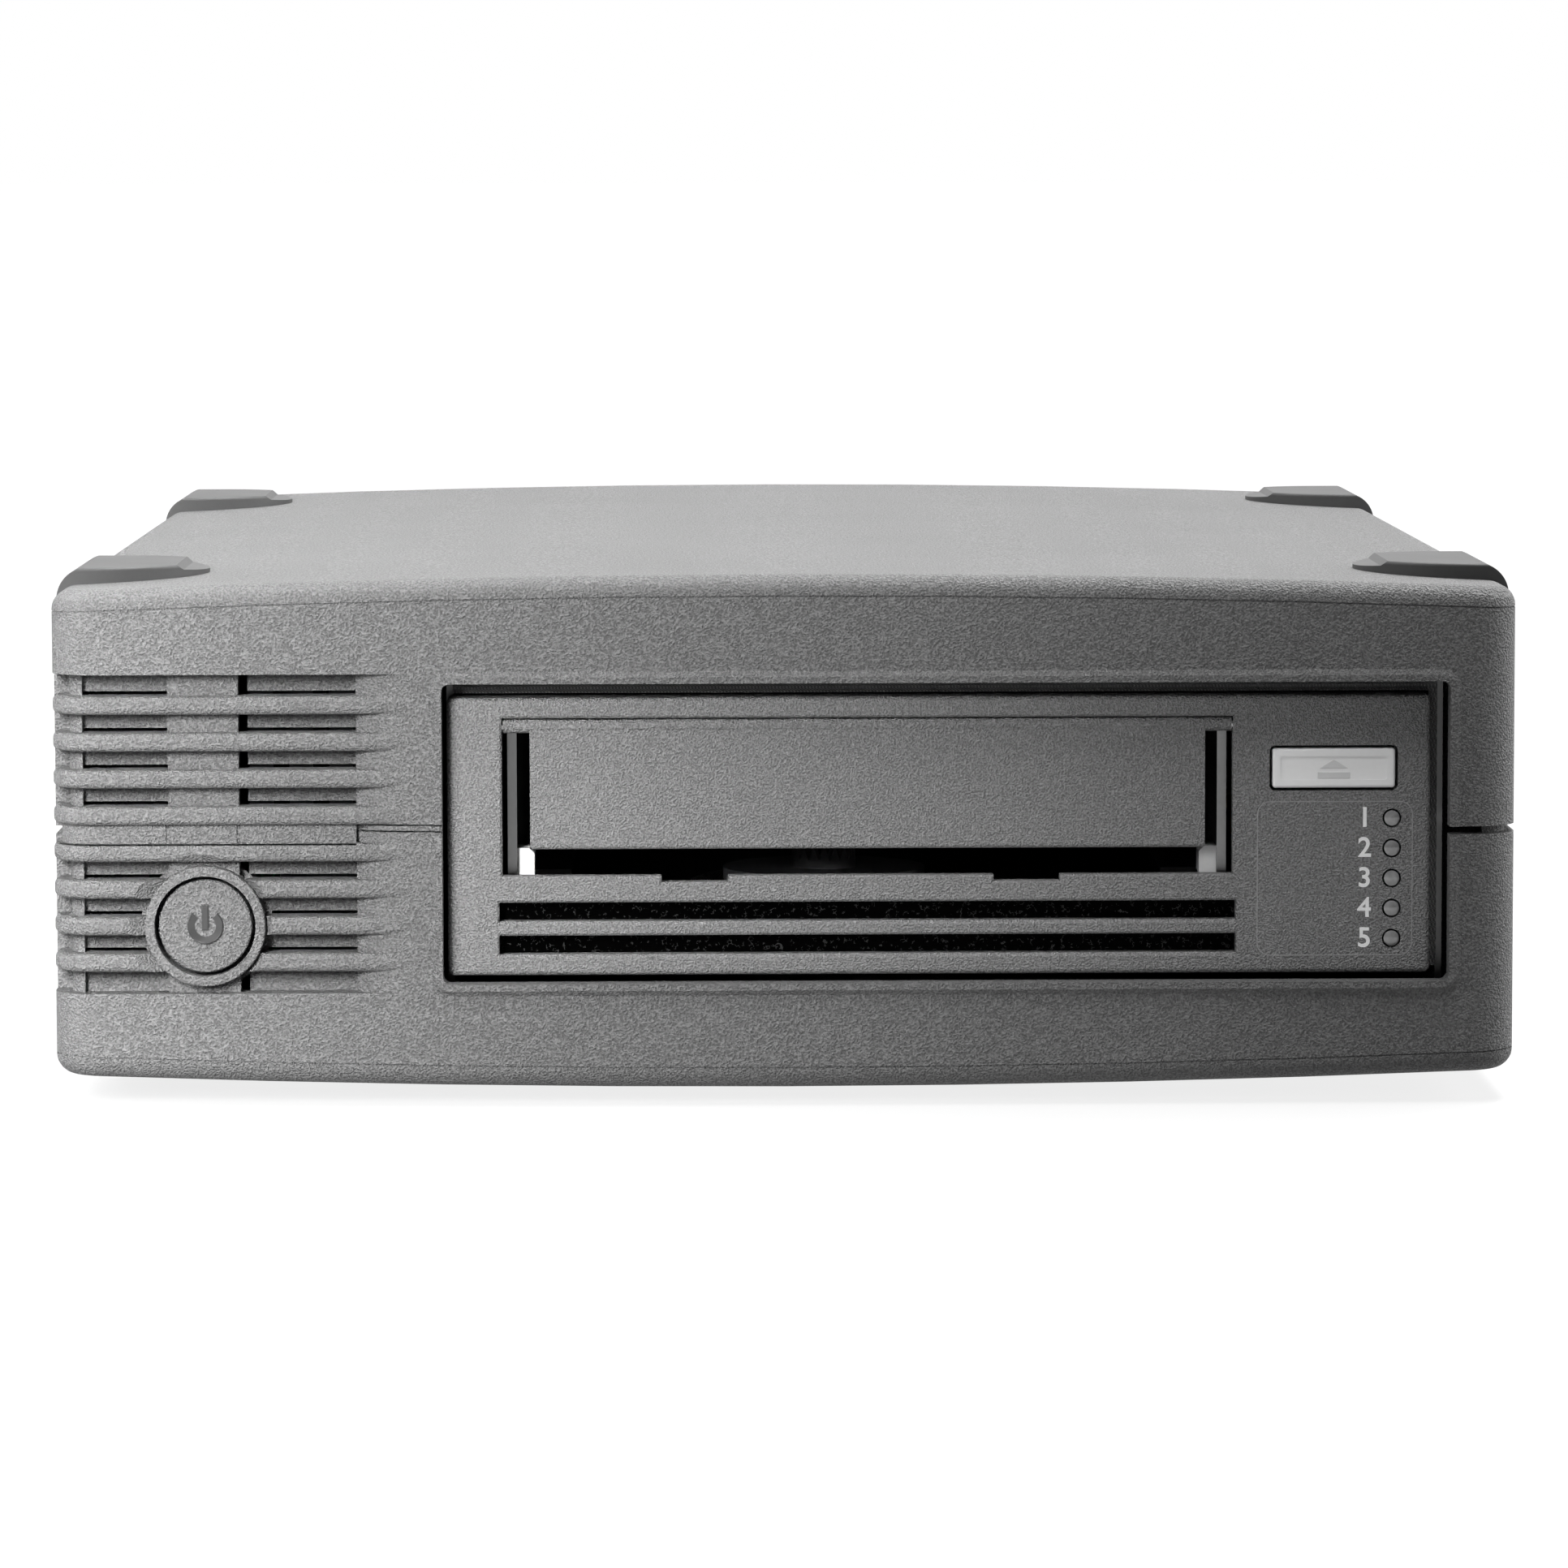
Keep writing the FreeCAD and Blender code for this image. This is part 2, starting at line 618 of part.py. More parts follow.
def vent_recess():
    """Hollow of the vent field: round the front left corner, and up a curved ramp to the face."""
    z0, z1 = MID_Z - VENT_HALF, MID_Z + VENT_HALF
    corner = block(LEFT - 1, RAMP_START, FRONT - 1, FRONT + SIDE_END, z0, z1)
    corner = corner.cut(crowned_block(VENT_DEPTH, CORNER_R - VENT_DEPTH))
    run = RAMP_END - RAMP_START
    radius = (run * run + VENT_DEPTH * VENT_DEPTH) / (2 * VENT_DEPTH)
    half_turn = math.asin(run / radius) / 2
    low = V(RAMP_START, FRONT + VENT_DEPTH, z0)
    high = V(RAMP_END, FRONT, z0)
    middle = V(RAMP_END - radius * math.sin(half_turn), FRONT + radius * (1 - math.cos(half_turn)), z0)
    wire = Part.Wire([
        Part.makeLine(V(RAMP_START, FRONT - 1, z0), low),
        Part.Arc(low, middle, high).toShape(),
        Part.makeLine(high, V(RAMP_END, FRONT - 1, z0)),
        Part.makeLine(V(RAMP_END, FRONT - 1, z0), V(RAMP_START, FRONT - 1, z0)),
    ])
    ramp = Part.Face(wire).extrude(V(0, 0, z1 - z0))
    return corner, ramp


def contour_slab(inset, z0, z1, x1):
    """Slice of the front left corner between the housing's outline and the back of the vent pan."""
    slab = block(LEFT - 1, x1, FRONT - 1, FRONT + SIDE_END + 1, z0, z1)
    slab = slab.common(crowned_block(inset, CORNER_R - inset))
    return slab.cut(crowned_block(PAN_DEPTH, CORNER_R - PAN_DEPTH))


def vent_rib(level):
    rib = contour_slab(0, level - RIB_H / 2, level + RIB_H / 2, RAMP_END)
    outer = []
    for e in rib.Edges:
        b = e.BoundBox
        front_line = b.YLength < 1e-4 and b.YMin < FRONT + 1e-4
        side_line = b.XLength < 1e-4 and b.XMin < LEFT + 1e-4
        corner_arc = b.XMin < LEFT + 1e-4 and b.YMin < FRONT + 1e-4
        if b.ZLength < 1e-4 and (front_line or side_line or corner_arc):
            outer.append(e)
    return rib.makeFillet(RIB_R, outer)


def button_collar():
    """Plain round collar of the power button, level with the face."""
    collar = rod(COLLAR_R, V(BUTTON_X, FRONT, BUTTON_Z), REARWARD, PAN_DEPTH)
    return collar.makeFillet(COLLAR_EDGE_R, edges_at_y(collar, FRONT))


def button_dish():
    """Round dip in the ribs about the collar: its mouth is off to the left."""
    grow = (DISH_R - COLLAR_R) / DISH_DEPTH
    lead = 0.5
    mouth = Part.makeCircle(DISH_R + grow * lead, V(BUTTON_X - DISH_SHIFT, FRONT - lead, BUTTON_Z), REARWARD)
    throat = Part.makeCircle(COLLAR_R, V(BUTTON_X, FRONT + DISH_DEPTH, BUTTON_Z), REARWARD)
    cone = Part.makeLoft([Part.Wire(mouth), Part.Wire(throat)], True, True)
    well = rod(COLLAR_R, V(BUTTON_X, FRONT, BUTTON_Z), REARWARD, PAN_DEPTH)
    return join(cone, well)


def seam_row():
    """Middle row of the vent field, which carries the joint; the bar is set off by two fine grooves."""
    half = RIB_PITCH / 2
    row = contour_slab(SEAM_ROW_DEPTH, MID_Z - half, MID_Z + half, RAMP_START)
    face = FRONT + SEAM_ROW_DEPTH
    x0, x1 = WINDOWS[0][1], WINDOWS[1][0]
    cuts = [block(x - BAR_LINE, x + BAR_LINE, face - 1, face + BAR_LINE, MID_Z - half, MID_Z + half)
            for x in (x0, x1)]
    cuts.append(block(x0, x1, face - 1, face + SKIRT_SHADE, SKIRT_Z - SKIRT_SHADE, SKIRT_Z))
    return row.cut(cuts)


def housing_solid():
    """Both shells in one piece, before they are parted at the seam."""
    body = creases(rounded_housing())
    body = join(body, rim())
    corner, ramp = vent_recess()
    body = body.cut([corner, ramp])
    cavity = crowned_block(WALL, CORNER_R - WALL)
    z0, z1 = MID_Z - VENT_HALF, MID_Z + VENT_HALF
    pan_z0, pan_z1 = z0 - BAFFLE_LAP, z1 + BAFFLE_LAP
    side_pan = block(LEFT, LEFT + PAN_DEPTH, FRONT, FRONT + SIDE_END + PAN_T, pan_z0, pan_z1)
    front_pan = block(LEFT, RAMP_END + 1, FRONT, PAN_BACK, pan_z0, pan_z1)
    body = body.cut(cavity.cut([side_pan, front_pan]))
    windows = [block(x0, x1, FRONT, PAN_BACK + 1, z0, z1) for x0, x1 in WINDOWS]
    body = body.cut(windows)
    ribs = [vent_rib(level).cut(button_dish()) for level in rib_levels()]
    body = join(body, *ribs, seam_row(), button_collar())
    bore = rod(BUTTON_R + BUTTON_GAP, V(BUTTON_X, FRONT - 1, BUTTON_Z), REARWARD, PAN_DEPTH + 2)
    rear_window = block(LEFT + WALL + PANEL_FRAME, RIGHT - WALL - PANEL_FRAME, BACK - WALL - 1, BACK + 1,
                        SHELL_BOTTOM + WALL + PANEL_FRAME, SHELL_TOP - WALL - PANEL_FRAME)
    rear_window = rear_window.makeFillet(PANEL_HOLE_R, edges_along_y(rear_window))
    return body.cut([opening(FRONT - RIM_RISE - 1, FRONT + WALL + 1), bore, rear_window])


def shell_boss_points():
    x = HOUSING_W / 2 - WALL - SHELL_BOSS_R + BOSS_BITE
    return [V(sx * x, FRONT + inset, 0) for sx in (-1, 1) for inset in SHELL_BOSS_INSETS]


def seam_groove():
    """Open outer part of the joint between the shells."""
    ring = block(LEFT - 1, RIGHT + 1, FRONT - 2, BACK + 1, MID_Z - SEAM_GAP / 2, MID_Z + SEAM_GAP / 2)
    ring = ring.cut(crowned_block(SEAM_DEPTH, CORNER_R - SEAM_DEPTH))
    vent_part = block(LEFT - 2, OPEN_X0, FRONT - 3, FRONT + SIDE_END, MID_Z - 2, MID_Z + 2)
    through = block(OPEN_X1 - 1, SEAM_OPEN_TO, FRONT - 1, FRONT + WALL + 1,
                    MID_Z - SEAM_GAP / 2, MID_Z + SEAM_GAP / 2)
    return join(ring.cut(vent_part), through)


def skirt(gap):
    """Part of the upper shell that reaches below the seam inside the vent field."""
    return block(LEFT - 1, RAMP_START, FRONT - 1, FRONT + SIDE_END, SKIRT_Z - gap, MID_Z)


def seam_lines():
    """Fine joint lines in the closed stretch, up the ramp and on to the opening."""
    lines = []
    for rise in SEAM_LINE_RISES:
        z = MID_Z + rise
        for x0, x1, depth in ((RAMP_START, RAMP_END, VENT_DEPTH), (RAMP_END, OPEN_X0 + 1, 0)):
            y1 = FRONT + depth + SEAM_LINE_DEPTH
            lines.append(block(x0, x1, FRONT - RIM_RISE - 1, y1, z, z + SEAM_LINE))
    return lines


def panel_boss(p):
    """Boss behind a corner of the rear panel, carried by the side wall of its shell."""
    depth = PANEL_BOSS_L
    reach = HOUSING_W / 2 - WALL - abs(p.x) + 1
    y0 = PANEL_Y0 - depth
    side = 1 if p.x > 0 else -1
    xs = sorted((p.x, p.x + side * reach))
    web = block(xs[0], xs[1], y0, PANEL_Y0, p.z - BOSS_R, p.z + BOSS_R)
    boss_rod = rod(BOSS_R, V(p.x, y0, p.z), REARWARD, depth)
    return join(web, boss_rod).cut(rod(SCREW_R, V(p.x, y0 + 2, p.z), REARWARD, depth))


def upper_shell(body):
    above = block(-BIG, BIG, -BIG, BIG, MID_Z, BIG)
    shell = body.cut(seam_groove()).common(join(above, skirt(0)))
    shell = shell.cut(seam_lines())
    posts = []
    for p in shell_boss_points():
        top = V(p.x, p.y, MID_Z)
        post = rod(SHELL_BOSS_R, top, UP, SHELL_TOP - WALL - MID_Z - 1)
        posts.append(post.cut(rod(SCREW_R, top, UP, SHELL_SCREW_L)))
    brace_y1 = PANEL_Y0 - FAN_D - BRACE_INSET
    braces = [block(x - BRACE_T / 2, x + BRACE_T / 2, FRONT + WALL + BRACE_INSET, brace_y1,
                    CAGE_TOP + SHEET_T + BRACE_GAP, SHELL_TOP - WALL) for x in brace_places()]
    bosses = [panel_boss(p) for p in panel_screw_points() if p.z > MID_Z]
    inside = crowned_block(WALL - 0.5, CORNER_R - WALL + 0.5)
    fittings = [f.common(inside) for f in posts + braces + bosses]
    return join(shell, *fittings)


def brace_places():
    return [RIGHT - BRACE_PITCH * (i + 1) for i in range(BRACE_COUNT)]


def floor_boss_points():
    return cage_boss_points() + psu_boss_points() + port_board_points()


def cage_boss_points():
    xs = (CAGE_X0 - FLANGE_W / 2, CAGE_X1 + BOSS_R)
    return [V(x, y, CAGE_Z) for x in xs for y in (FRONT + CAGE_BOSS_SETS[0], FRONT + CAGE_BOSS_SETS[1])]


def psu_boss_points():
    xs = (PSU_X0 + PSU_SCREW_INSET, PSU_X0 + PSU_W - PSU_SCREW_INSET)
    ys = (PSU_Y0 - PSU_TAB / 2, PSU_Y0 + PSU_L + PSU_TAB / 2)
    return [V(x, y, PSU_Z0) for x in xs for y in ys]


def port_board_points():
    edge = SCREW_EDGE
    near = PORT_BOARD_Y0 + edge
    between = V((PORT_XS[0] + PORT_XS[1]) / 2, PORT_BOARD_Y1 - edge, PORT_BOARD_Z)
    return [V(PORT_BOARD_X0 + edge, near, PORT_BOARD_Z), V(PORT_BOARD_X1 - edge, near, PORT_BOARD_Z), between]


def foot_points():
    return [V(x, FRONT + y, 0) for x in (-FOOT_X, FOOT_X) for y in FOOT_INSETS]


def foot_top():
    return SHELL_BOTTOM + CROWN_RISE * (FOOT_X / (HOUSING_W / 2)) ** 2 + FOOT_POCKET


def lower_shell(body):
    below = block(-BIG, BIG, -BIG, BIG, -BIG, MID_Z)
    shell = body.cut([seam_groove(), skirt(SEAM_LINE)]).common(below)
    fittings = []
    for p in shell_boss_points():
        fittings.append(rod(SHELL_BOSS_R, V(p.x, p.y, SHELL_BOTTOM + 1), UP, MID_Z - SHELL_BOTTOM - 1))
    for p in floor_boss_points():
        fittings.append(rod(BOSS_R, V(p.x, p.y, SHELL_BOTTOM + 1), UP, p.z - SHELL_BOTTOM - 1))
    fittings += [panel_boss(p) for p in panel_screw_points() if p.z < MID_Z]
    inside = crowned_block(WALL - 0.5, CORNER_R - WALL + 0.5)
    shell = join(shell, *[f.common(inside) for f in fittings])
    cuts = [rod(SCREW_R, p - V(0, 0, BOSS_HOLE), UP, BOSS_HOLE) for p in floor_boss_points()]
    for p in shell_boss_points():
        cuts.append(rod(SCREW_HEAD_R + 0.4, V(p.x, p.y, 0), UP, SHELL_SCREW_Z))
        cuts.append(rod(SCREW_R, V(p.x, p.y, 0), UP, MID_Z + 1))
    for p in foot_points():
        cuts.append(rod(FOOT_R + FOOT_PLAY, p, UP, foot_top()))
    return shell.cut(cuts)


def pad_plan(y0):
    """Plan of a pad as an upright prism: straight ends, and two quarter rounds at the inner end."""
    tip = RIGHT - PAD_TAB_SET
    y1 = y0 + PAD_L
    front_r, rear_r = PAD_FRONT_R, PAD_L - PAD_FRONT_R
    turn = math.sqrt(0.5)
    tip_y = y0 + front_r
    front_mid = V(tip + front_r * (1 - turn), tip_y - front_r * turn, 0)
    rear_mid = V(tip + rear_r * (1 - turn), tip_y + rear_r * turn, 0)
    front_end, rear_end = V(tip + front_r, y0, 0), V(tip + rear_r, y1, 0)
    outer = RIGHT + 5
    wire = Part.Wire([
        Part.makeLine(V(outer, y0, 0), front_end),
        Part.Arc(front_end, front_mid, V(tip, tip_y, 0)).toShape(),
        Part.Arc(V(tip, tip_y, 0), rear_mid, rear_end).toShape(),
        Part.makeLine(rear_end, V(outer, y1, 0)),
        Part.makeLine(V(outer, y1, 0), V(outer, y0, 0)),
    ])
    return Part.Face(wire).extrude(V(0, 0, SHELL_TOP * 2))


def top_pad(side, inset):
    """Smooth stacking pad over the top edge of the housing; side is -1 left, +1 right."""
    y0 = FRONT + inset
    edge = RIGHT + PAD_PROUD
    inner, tab = RIGHT - PAD_INNER_SET, RIGHT - PAD_TAB_SET
    low = PAD_TOP - PAD_FLANK_H
    radius = (PAD_SHOULDER ** 2 + PAD_FLANK_H ** 2) / (2 * PAD_SHOULDER)
    half_turn = math.asin(PAD_FLANK_H / radius) / 2
    shoulder = V(edge - PAD_SHOULDER, y0, PAD_TOP)
    bulge = V(edge - radius * (1 - math.cos(half_turn)), y0, low + radius * math.sin(half_turn))
    rim_top = PAD_TOP - PAD_TAB_DROP
    corners = [V(edge, y0, low), V(tab, y0, low), V(tab, y0, rim_top - PAD_TAB_FALL),
               V(inner - PAD_STEP, y0, rim_top), V(inner, y0, PAD_TOP), shoulder]
    lines = [Part.makeLine(a, b) for a, b in zip(corners, corners[1:])]
    wire = Part.Wire([Part.Arc(shoulder, bulge, corners[0]).toShape()] + lines)
    pad = Part.Face(wire).extrude(V(0, PAD_L, 0)).common(pad_plan(y0))
    rims = [e for e in edges_at_z(pad, PAD_TOP) if e.BoundBox.XLength > 1]
    pad = pad.makeFillet(PAD_EDGE_R, rims)
    if side < 0:
        pad = pad.mirror(V(0, 0, 0), RIGHTWARD)
    return pad.cut(rounded_housing())


def foot(p):
    solid = rod(FOOT_R, p, UP, foot_top())
    return solid.makeFillet(FOOT_EDGE_R, edges_at_z(solid, 0))


def guide_depth():
    return BUTTON_REST + BUTTON_FLANGE_T + BUTTON_TRAVEL + GUIDE_SPACE


def vent_baffle(housing):
    """Plate behind the vent windows with narrow air slots, a cup that guides the power button,
    and two standoffs for the power board."""
    x0, x1 = LEFT + PAN_DEPTH, RAMP_START + BAFFLE_LAP
    z0, z1 = MID_Z - VENT_HALF, MID_Z + VENT_HALF
    y1 = PAN_BACK + BAFFLE_T
    plate = block(x0, x1, PAN_BACK, y1, z0 - BAFFLE_LAP, z1 + BAFFLE_LAP).cut(housing)
    at = V(BUTTON_X, PAN_BACK, BUTTON_Z)
    cup_r = BUTTON_FLANGE_R + GUIDE_SPACE
    cup = rod(cup_r + GUIDE_T, at, REARWARD, guide_depth() + GUIDE_T)
    standoff_l = POWER_BOARD_SET - PAN_DEPTH - guide_depth()
    standoffs = [rod(STANDOFF_R, at + V(s * STANDOFF_REACH, guide_depth(), 0), REARWARD, standoff_l)
                 for s in (-1, 1)]
    cuts = []
    for level in rib_levels():
        sill = level + RIB_H / 2
        if abs(sill - MID_Z) < RIB_PITCH / 2:
            continue
        for wx0, wx1 in WINDOWS:
            cuts.append(block(wx0, wx1, PAN_BACK - 1, y1 + 1, sill, sill + BAFFLE_SLOT))
    edge = WINDOWS[1][0]
    half = RIB_PITCH / 2
    for low, high in ((MID_Z + half, z1), (z0, MID_Z - half)):
        cuts.append(block(edge, edge + BAFFLE_SIDE_SLOT, PAN_BACK - 1, y1 + 1, low, high))
    plate = join(plate.cut(cuts), cup, *standoffs)
    return plate.cut([rod(cup_r, at, REARWARD, guide_depth()),
                      rod(BUTTON_STEM_R + GUIDE_PLAY, at, REARWARD, BIG)])


# ---- power button ----
def power_button():
    face = V(BUTTON_X, FRONT + BUTTON_SET, BUTTON_Z)
    cap = rod(BUTTON_R, face, REARWARD, PAN_DEPTH - BUTTON_SET + BUTTON_REST)
    cap = cap.makeFillet(BUTTON_EDGE_R, edges_at_y(cap, FRONT + BUTTON_SET))
    flange = rod(BUTTON_FLANGE_R, V(BUTTON_X, PAN_BACK + BUTTON_REST, BUTTON_Z), REARWARD, BUTTON_FLANGE_T)
    stem = rod(BUTTON_STEM_R, V(BUTTON_X, PAN_BACK, BUTTON_Z), REARWARD, plunger_front() - PAN_BACK)
    return join(cap, flange, stem)


def plunger_front():
    return FRONT + POWER_BOARD_SET - SWITCH_D - PLUNGER_OUT


def power_switch_plunger():
    length = PLUNGER_OUT + SWITCH_D - BUTTON_TRAVEL - PLUNGER_SPARE
    return rod(PLUNGER_R, V(BUTTON_X, plunger_front(), BUTTON_Z), REARWARD, length)


def power_board():
    y0 = FRONT + POWER_BOARD_SET
    board = block(BUTTON_X - POWER_BOARD_W / 2, BUTTON_X + POWER_BOARD_W / 2, y0, y0 + BOARD_T,
                  BUTTON_Z - POWER_BOARD_H / 2, BUTTON_Z + POWER_BOARD_H / 2)
    half = SWITCH_SIZE / 2
    switch = block(BUTTON_X - half, BUTTON_X + half, y0 - SWITCH_D, y0, BUTTON_Z - half, BUTTON_Z + half)
    at = V(BUTTON_X, y0 - SWITCH_D, BUTTON_Z)
    switch = switch.cut(rod(PLUNGER_R + PLUNGER_PLAY, at, REARWARD, SWITCH_D))
    return join(board, switch)


# ---- drive bezel and what it holds ----
def flare(x0, x1, z0, z1):
    """Bevel round a rectangular opening in the bezel's face."""
    frames = []
    for grow, y in ((2 * SLOT_FLARE, BEZEL_FACE - SLOT_FLARE), (0, BEZEL_FACE + SLOT_FLARE)):
        corners = [V(x0 - grow, y, z0 - grow), V(x1 + grow, y, z0 - grow),
                   V(x1 + grow, y, z1 + grow), V(x0 - grow, y, z1 + grow)]
        frames.append(Part.makePolygon(corners + [corners[0]]))
    return Part.makeLoft(frames, True, True)


def drive_bezel():
    body = block(BEZEL_X0, BEZEL_X1, BEZEL_FACE, BEZEL_BACK, BEZEL_Z0, BEZEL_Z1)
    body = body.makeFillet(BEZEL_EDGE_R, edges_at_y(body, BEZEL_FACE) + edges_along_y(body))
    skirt_t = BEZEL_SKIRT_T
    hollow = block(BEZEL_X0 + skirt_t, BEZEL_X1 - skirt_t, BEZEL_FACE + BEZEL_T, BEZEL_BACK + 1,
                   BEZEL_Z0 + skirt_t, BEZEL_Z1 - skirt_t)
    cuts = [hollow]
    y0, y1 = BEZEL_FACE - 1, BEZEL_BACK
    slot_z0 = SLOT_TOP - SLOT_H
    cuts.append(block(SLOT_X - SLOT_W / 2, SLOT_X + SLOT_W / 2, y0, y1, slot_z0, SLOT_TOP))
    cuts.append(flare(SLOT_X - SLOT_W / 2, SLOT_X + SLOT_W / 2, slot_z0, SLOT_TOP))
    for side in (-1, 1):
        x = SLOT_X - NOTCH_SHIFT + side * NOTCH_X
        cuts.append(block(x - NOTCH_W / 2, x + NOTCH_W / 2, y0, y1, slot_z0 - NOTCH_H, slot_z0 + 1))
        cuts.append(flare(x - NOTCH_W / 2, x + NOTCH_W / 2, slot_z0 - NOTCH_H, slot_z0 + 1))
    for z in BEZEL_VENT_Z:
        half_w, half_h = BEZEL_VENT_W / 2, BEZEL_VENT_H / 2
        cuts.append(block(SLOT_X - half_w, SLOT_X + half_w, y0, y1, z - half_h, z + half_h))
        lip = [V(SLOT_X - half_w, BEZEL_FACE, z - half_h - VENT_LIP),
               V(SLOT_X - half_w, BEZEL_FACE + VENT_LIP, z - half_h),
               V(SLOT_X - half_w, BEZEL_FACE - 1, z - half_h),
               V(SLOT_X - half_w, BEZEL_FACE - 1, z - half_h - VENT_LIP)]
        cuts.append(outline(lip).extrude(V(BEZEL_VENT_W, 0, 0)))
        cuts.append(flare(SLOT_X - half_w, SLOT_X + half_w, z - half_h, z + half_h))
    half_w, half_h = EJECT_W / 2 + EJECT_GAP, EJECT_H / 2 + EJECT_GAP
    pocket = block(EJECT_X - half_w, EJECT_X + half_w, y0, y1, EJECT_Z - half_h, EJECT_Z + half_h)
    cuts.append(pocket.makeFillet(EJECT_R + EJECT_GAP, edges_along_y(pocket)))
    for z in lamp_levels():
        cuts.append(rod(LAMP_R + LAMP_PLAY, V(LAMP_X, y0, z), REARWARD, BEZEL_D + 1))
    pin_x0 = SLOT_X - SLOT_W / 2 - PIN_HOLD
    cuts.append(rod(PIN_R, V(pin_x0, DOOR_AXIS_Y, DOOR_AXIS_Z), RIGHTWARD, SLOT_W + 2 * PIN_HOLD))
    return body.cut(cuts)


def lamp_levels():
    return [LAMP_Z - LAMP_PITCH * i for i in range(LAMP_COUNT)]


def status_lamps():
    """One light guide behind each lamp hole, with a domed end."""
    guides = []
    length = front_board_y() - BEZEL_FACE
    for z in lamp_levels():
        dome_r = (LAMP_R ** 2 + LAMP_PROUD ** 2) / (2 * LAMP_PROUD)
        stalk = rod(LAMP_R, V(LAMP_X, BEZEL_FACE, z), REARWARD, length)
        ball = Part.makeSphere(dome_r, V(LAMP_X, BEZEL_FACE - LAMP_PROUD + dome_r, z))
        dome = ball.common(rod(LAMP_R, V(LAMP_X, BEZEL_FACE - 1, z), REARWARD, 1.2))
        guides.append(join(stalk, dome))
    return Part.makeCompound(guides)


def cartridge_door():
    """Flap that hangs from its hinge barrel at the top of the slot and swings inwards."""
    barrel_w = SLOT_W - 2 * SIDE_PLAY
    barrel = rod(DOOR_BARREL_R, V(SLOT_X - barrel_w / 2, DOOR_AXIS_Y, DOOR_AXIS_Z), RIGHTWARD, barrel_w)
    bottom = SLOT_TOP - DOOR_H
    flap = block(SLOT_X - DOOR_W / 2, SLOT_X + DOOR_W / 2, DOOR_AXIS_Y - DOOR_T / 2, DOOR_AXIS_Y + DOOR_T / 2,
                 bottom, DOOR_AXIS_Z)
    low_edges = [e for e in edges_at_z(flap, bottom) if e.Length > DOOR_W - 1]
    ends = [e for e in edges_along_y(flap) if e.BoundBox.ZMax < bottom + 1]
    flap = flap.makeFillet(DOOR_EDGE_R, low_edges + ends)
    door = join(barrel, flap)
    bore = rod(PIN_R + PIN_PLAY, V(SLOT_X - SLOT_W / 2, DOOR_AXIS_Y, DOOR_AXIS_Z), RIGHTWARD, SLOT_W)
    return door.cut(bore)


def door_hinge_pin():
    x0 = SLOT_X - SLOT_W / 2 - PIN_HOLD
    return rod(PIN_R, V(x0, DOOR_AXIS_Y, DOOR_AXIS_Z), RIGHTWARD, SLOT_W + 2 * PIN_HOLD)


def eject_button():
    """Oblong key with a shallow dish in its face."""
    face = BEZEL_FACE - EJECT_PROUD
    half_w, half_h = EJECT_W / 2, EJECT_H / 2
    cap = block(EJECT_X - half_w, EJECT_X + half_w, face, BEZEL_FACE + EJECT_T,
                EJECT_Z - half_h, EJECT_Z + half_h)
    cap = cap.makeFillet(EJECT_R, edges_at_y(cap, face) + edges_along_y(cap))
    half_w, half_h = half_w - EJECT_FRAME, half_h - EJECT_FRAME
    dish = block(EJECT_X - half_w, EJECT_X + half_w, face - 1, face + EJECT_DISH,
                 EJECT_Z - half_h, EJECT_Z + half_h)
    dish = dish.makeFillet(EJECT_R, edges_along_y(dish))
    stem_l = eject_switch_front() - EJECT_TRAVEL - SIDE_PLAY - BEZEL_FACE - EJECT_T
    stem = rod(EJECT_STEM_R, V(EJECT_X, BEZEL_FACE + EJECT_T, EJECT_Z), REARWARD, stem_l)
    return join(cap.cut(dish), stem)


def vent_filter():
    """Foam sheet behind the two vents of the bezel."""
    y0 = BEZEL_FACE + BEZEL_T
    half = BEZEL_VENT_H / 2 + FILTER_LAP
    return block(SLOT_X - BEZEL_VENT_W / 2 - FILTER_LAP, SLOT_X + BEZEL_VENT_W / 2 + FILTER_LAP,
                 y0, y0 + FILTER_T, BEZEL_VENT_Z[1] - half, BEZEL_VENT_Z[0] + half)


def front_board_y():
    return BEZEL_BACK + FRONT_BOARD_SET


def eject_switch_front():
    return front_board_y() - EJECT_SWITCH_D


def front_board():
    """Small board behind the bezel with the lamps and the eject switch."""
    y0 = front_board_y()
    half = SWITCH_SIZE / 2
    board = block(EJECT_X - FRONT_BOARD_SIDE, DRIVE_X1 - CAST_T, y0, y0 + BOARD_T,
                  DECK_Z, EJECT_Z + SWITCH_SIZE)
    switch = block(EJECT_X - half, EJECT_X + half, eject_switch_front(), y0, EJECT_Z - half, EJECT_Z + half)
    return join(board, switch)


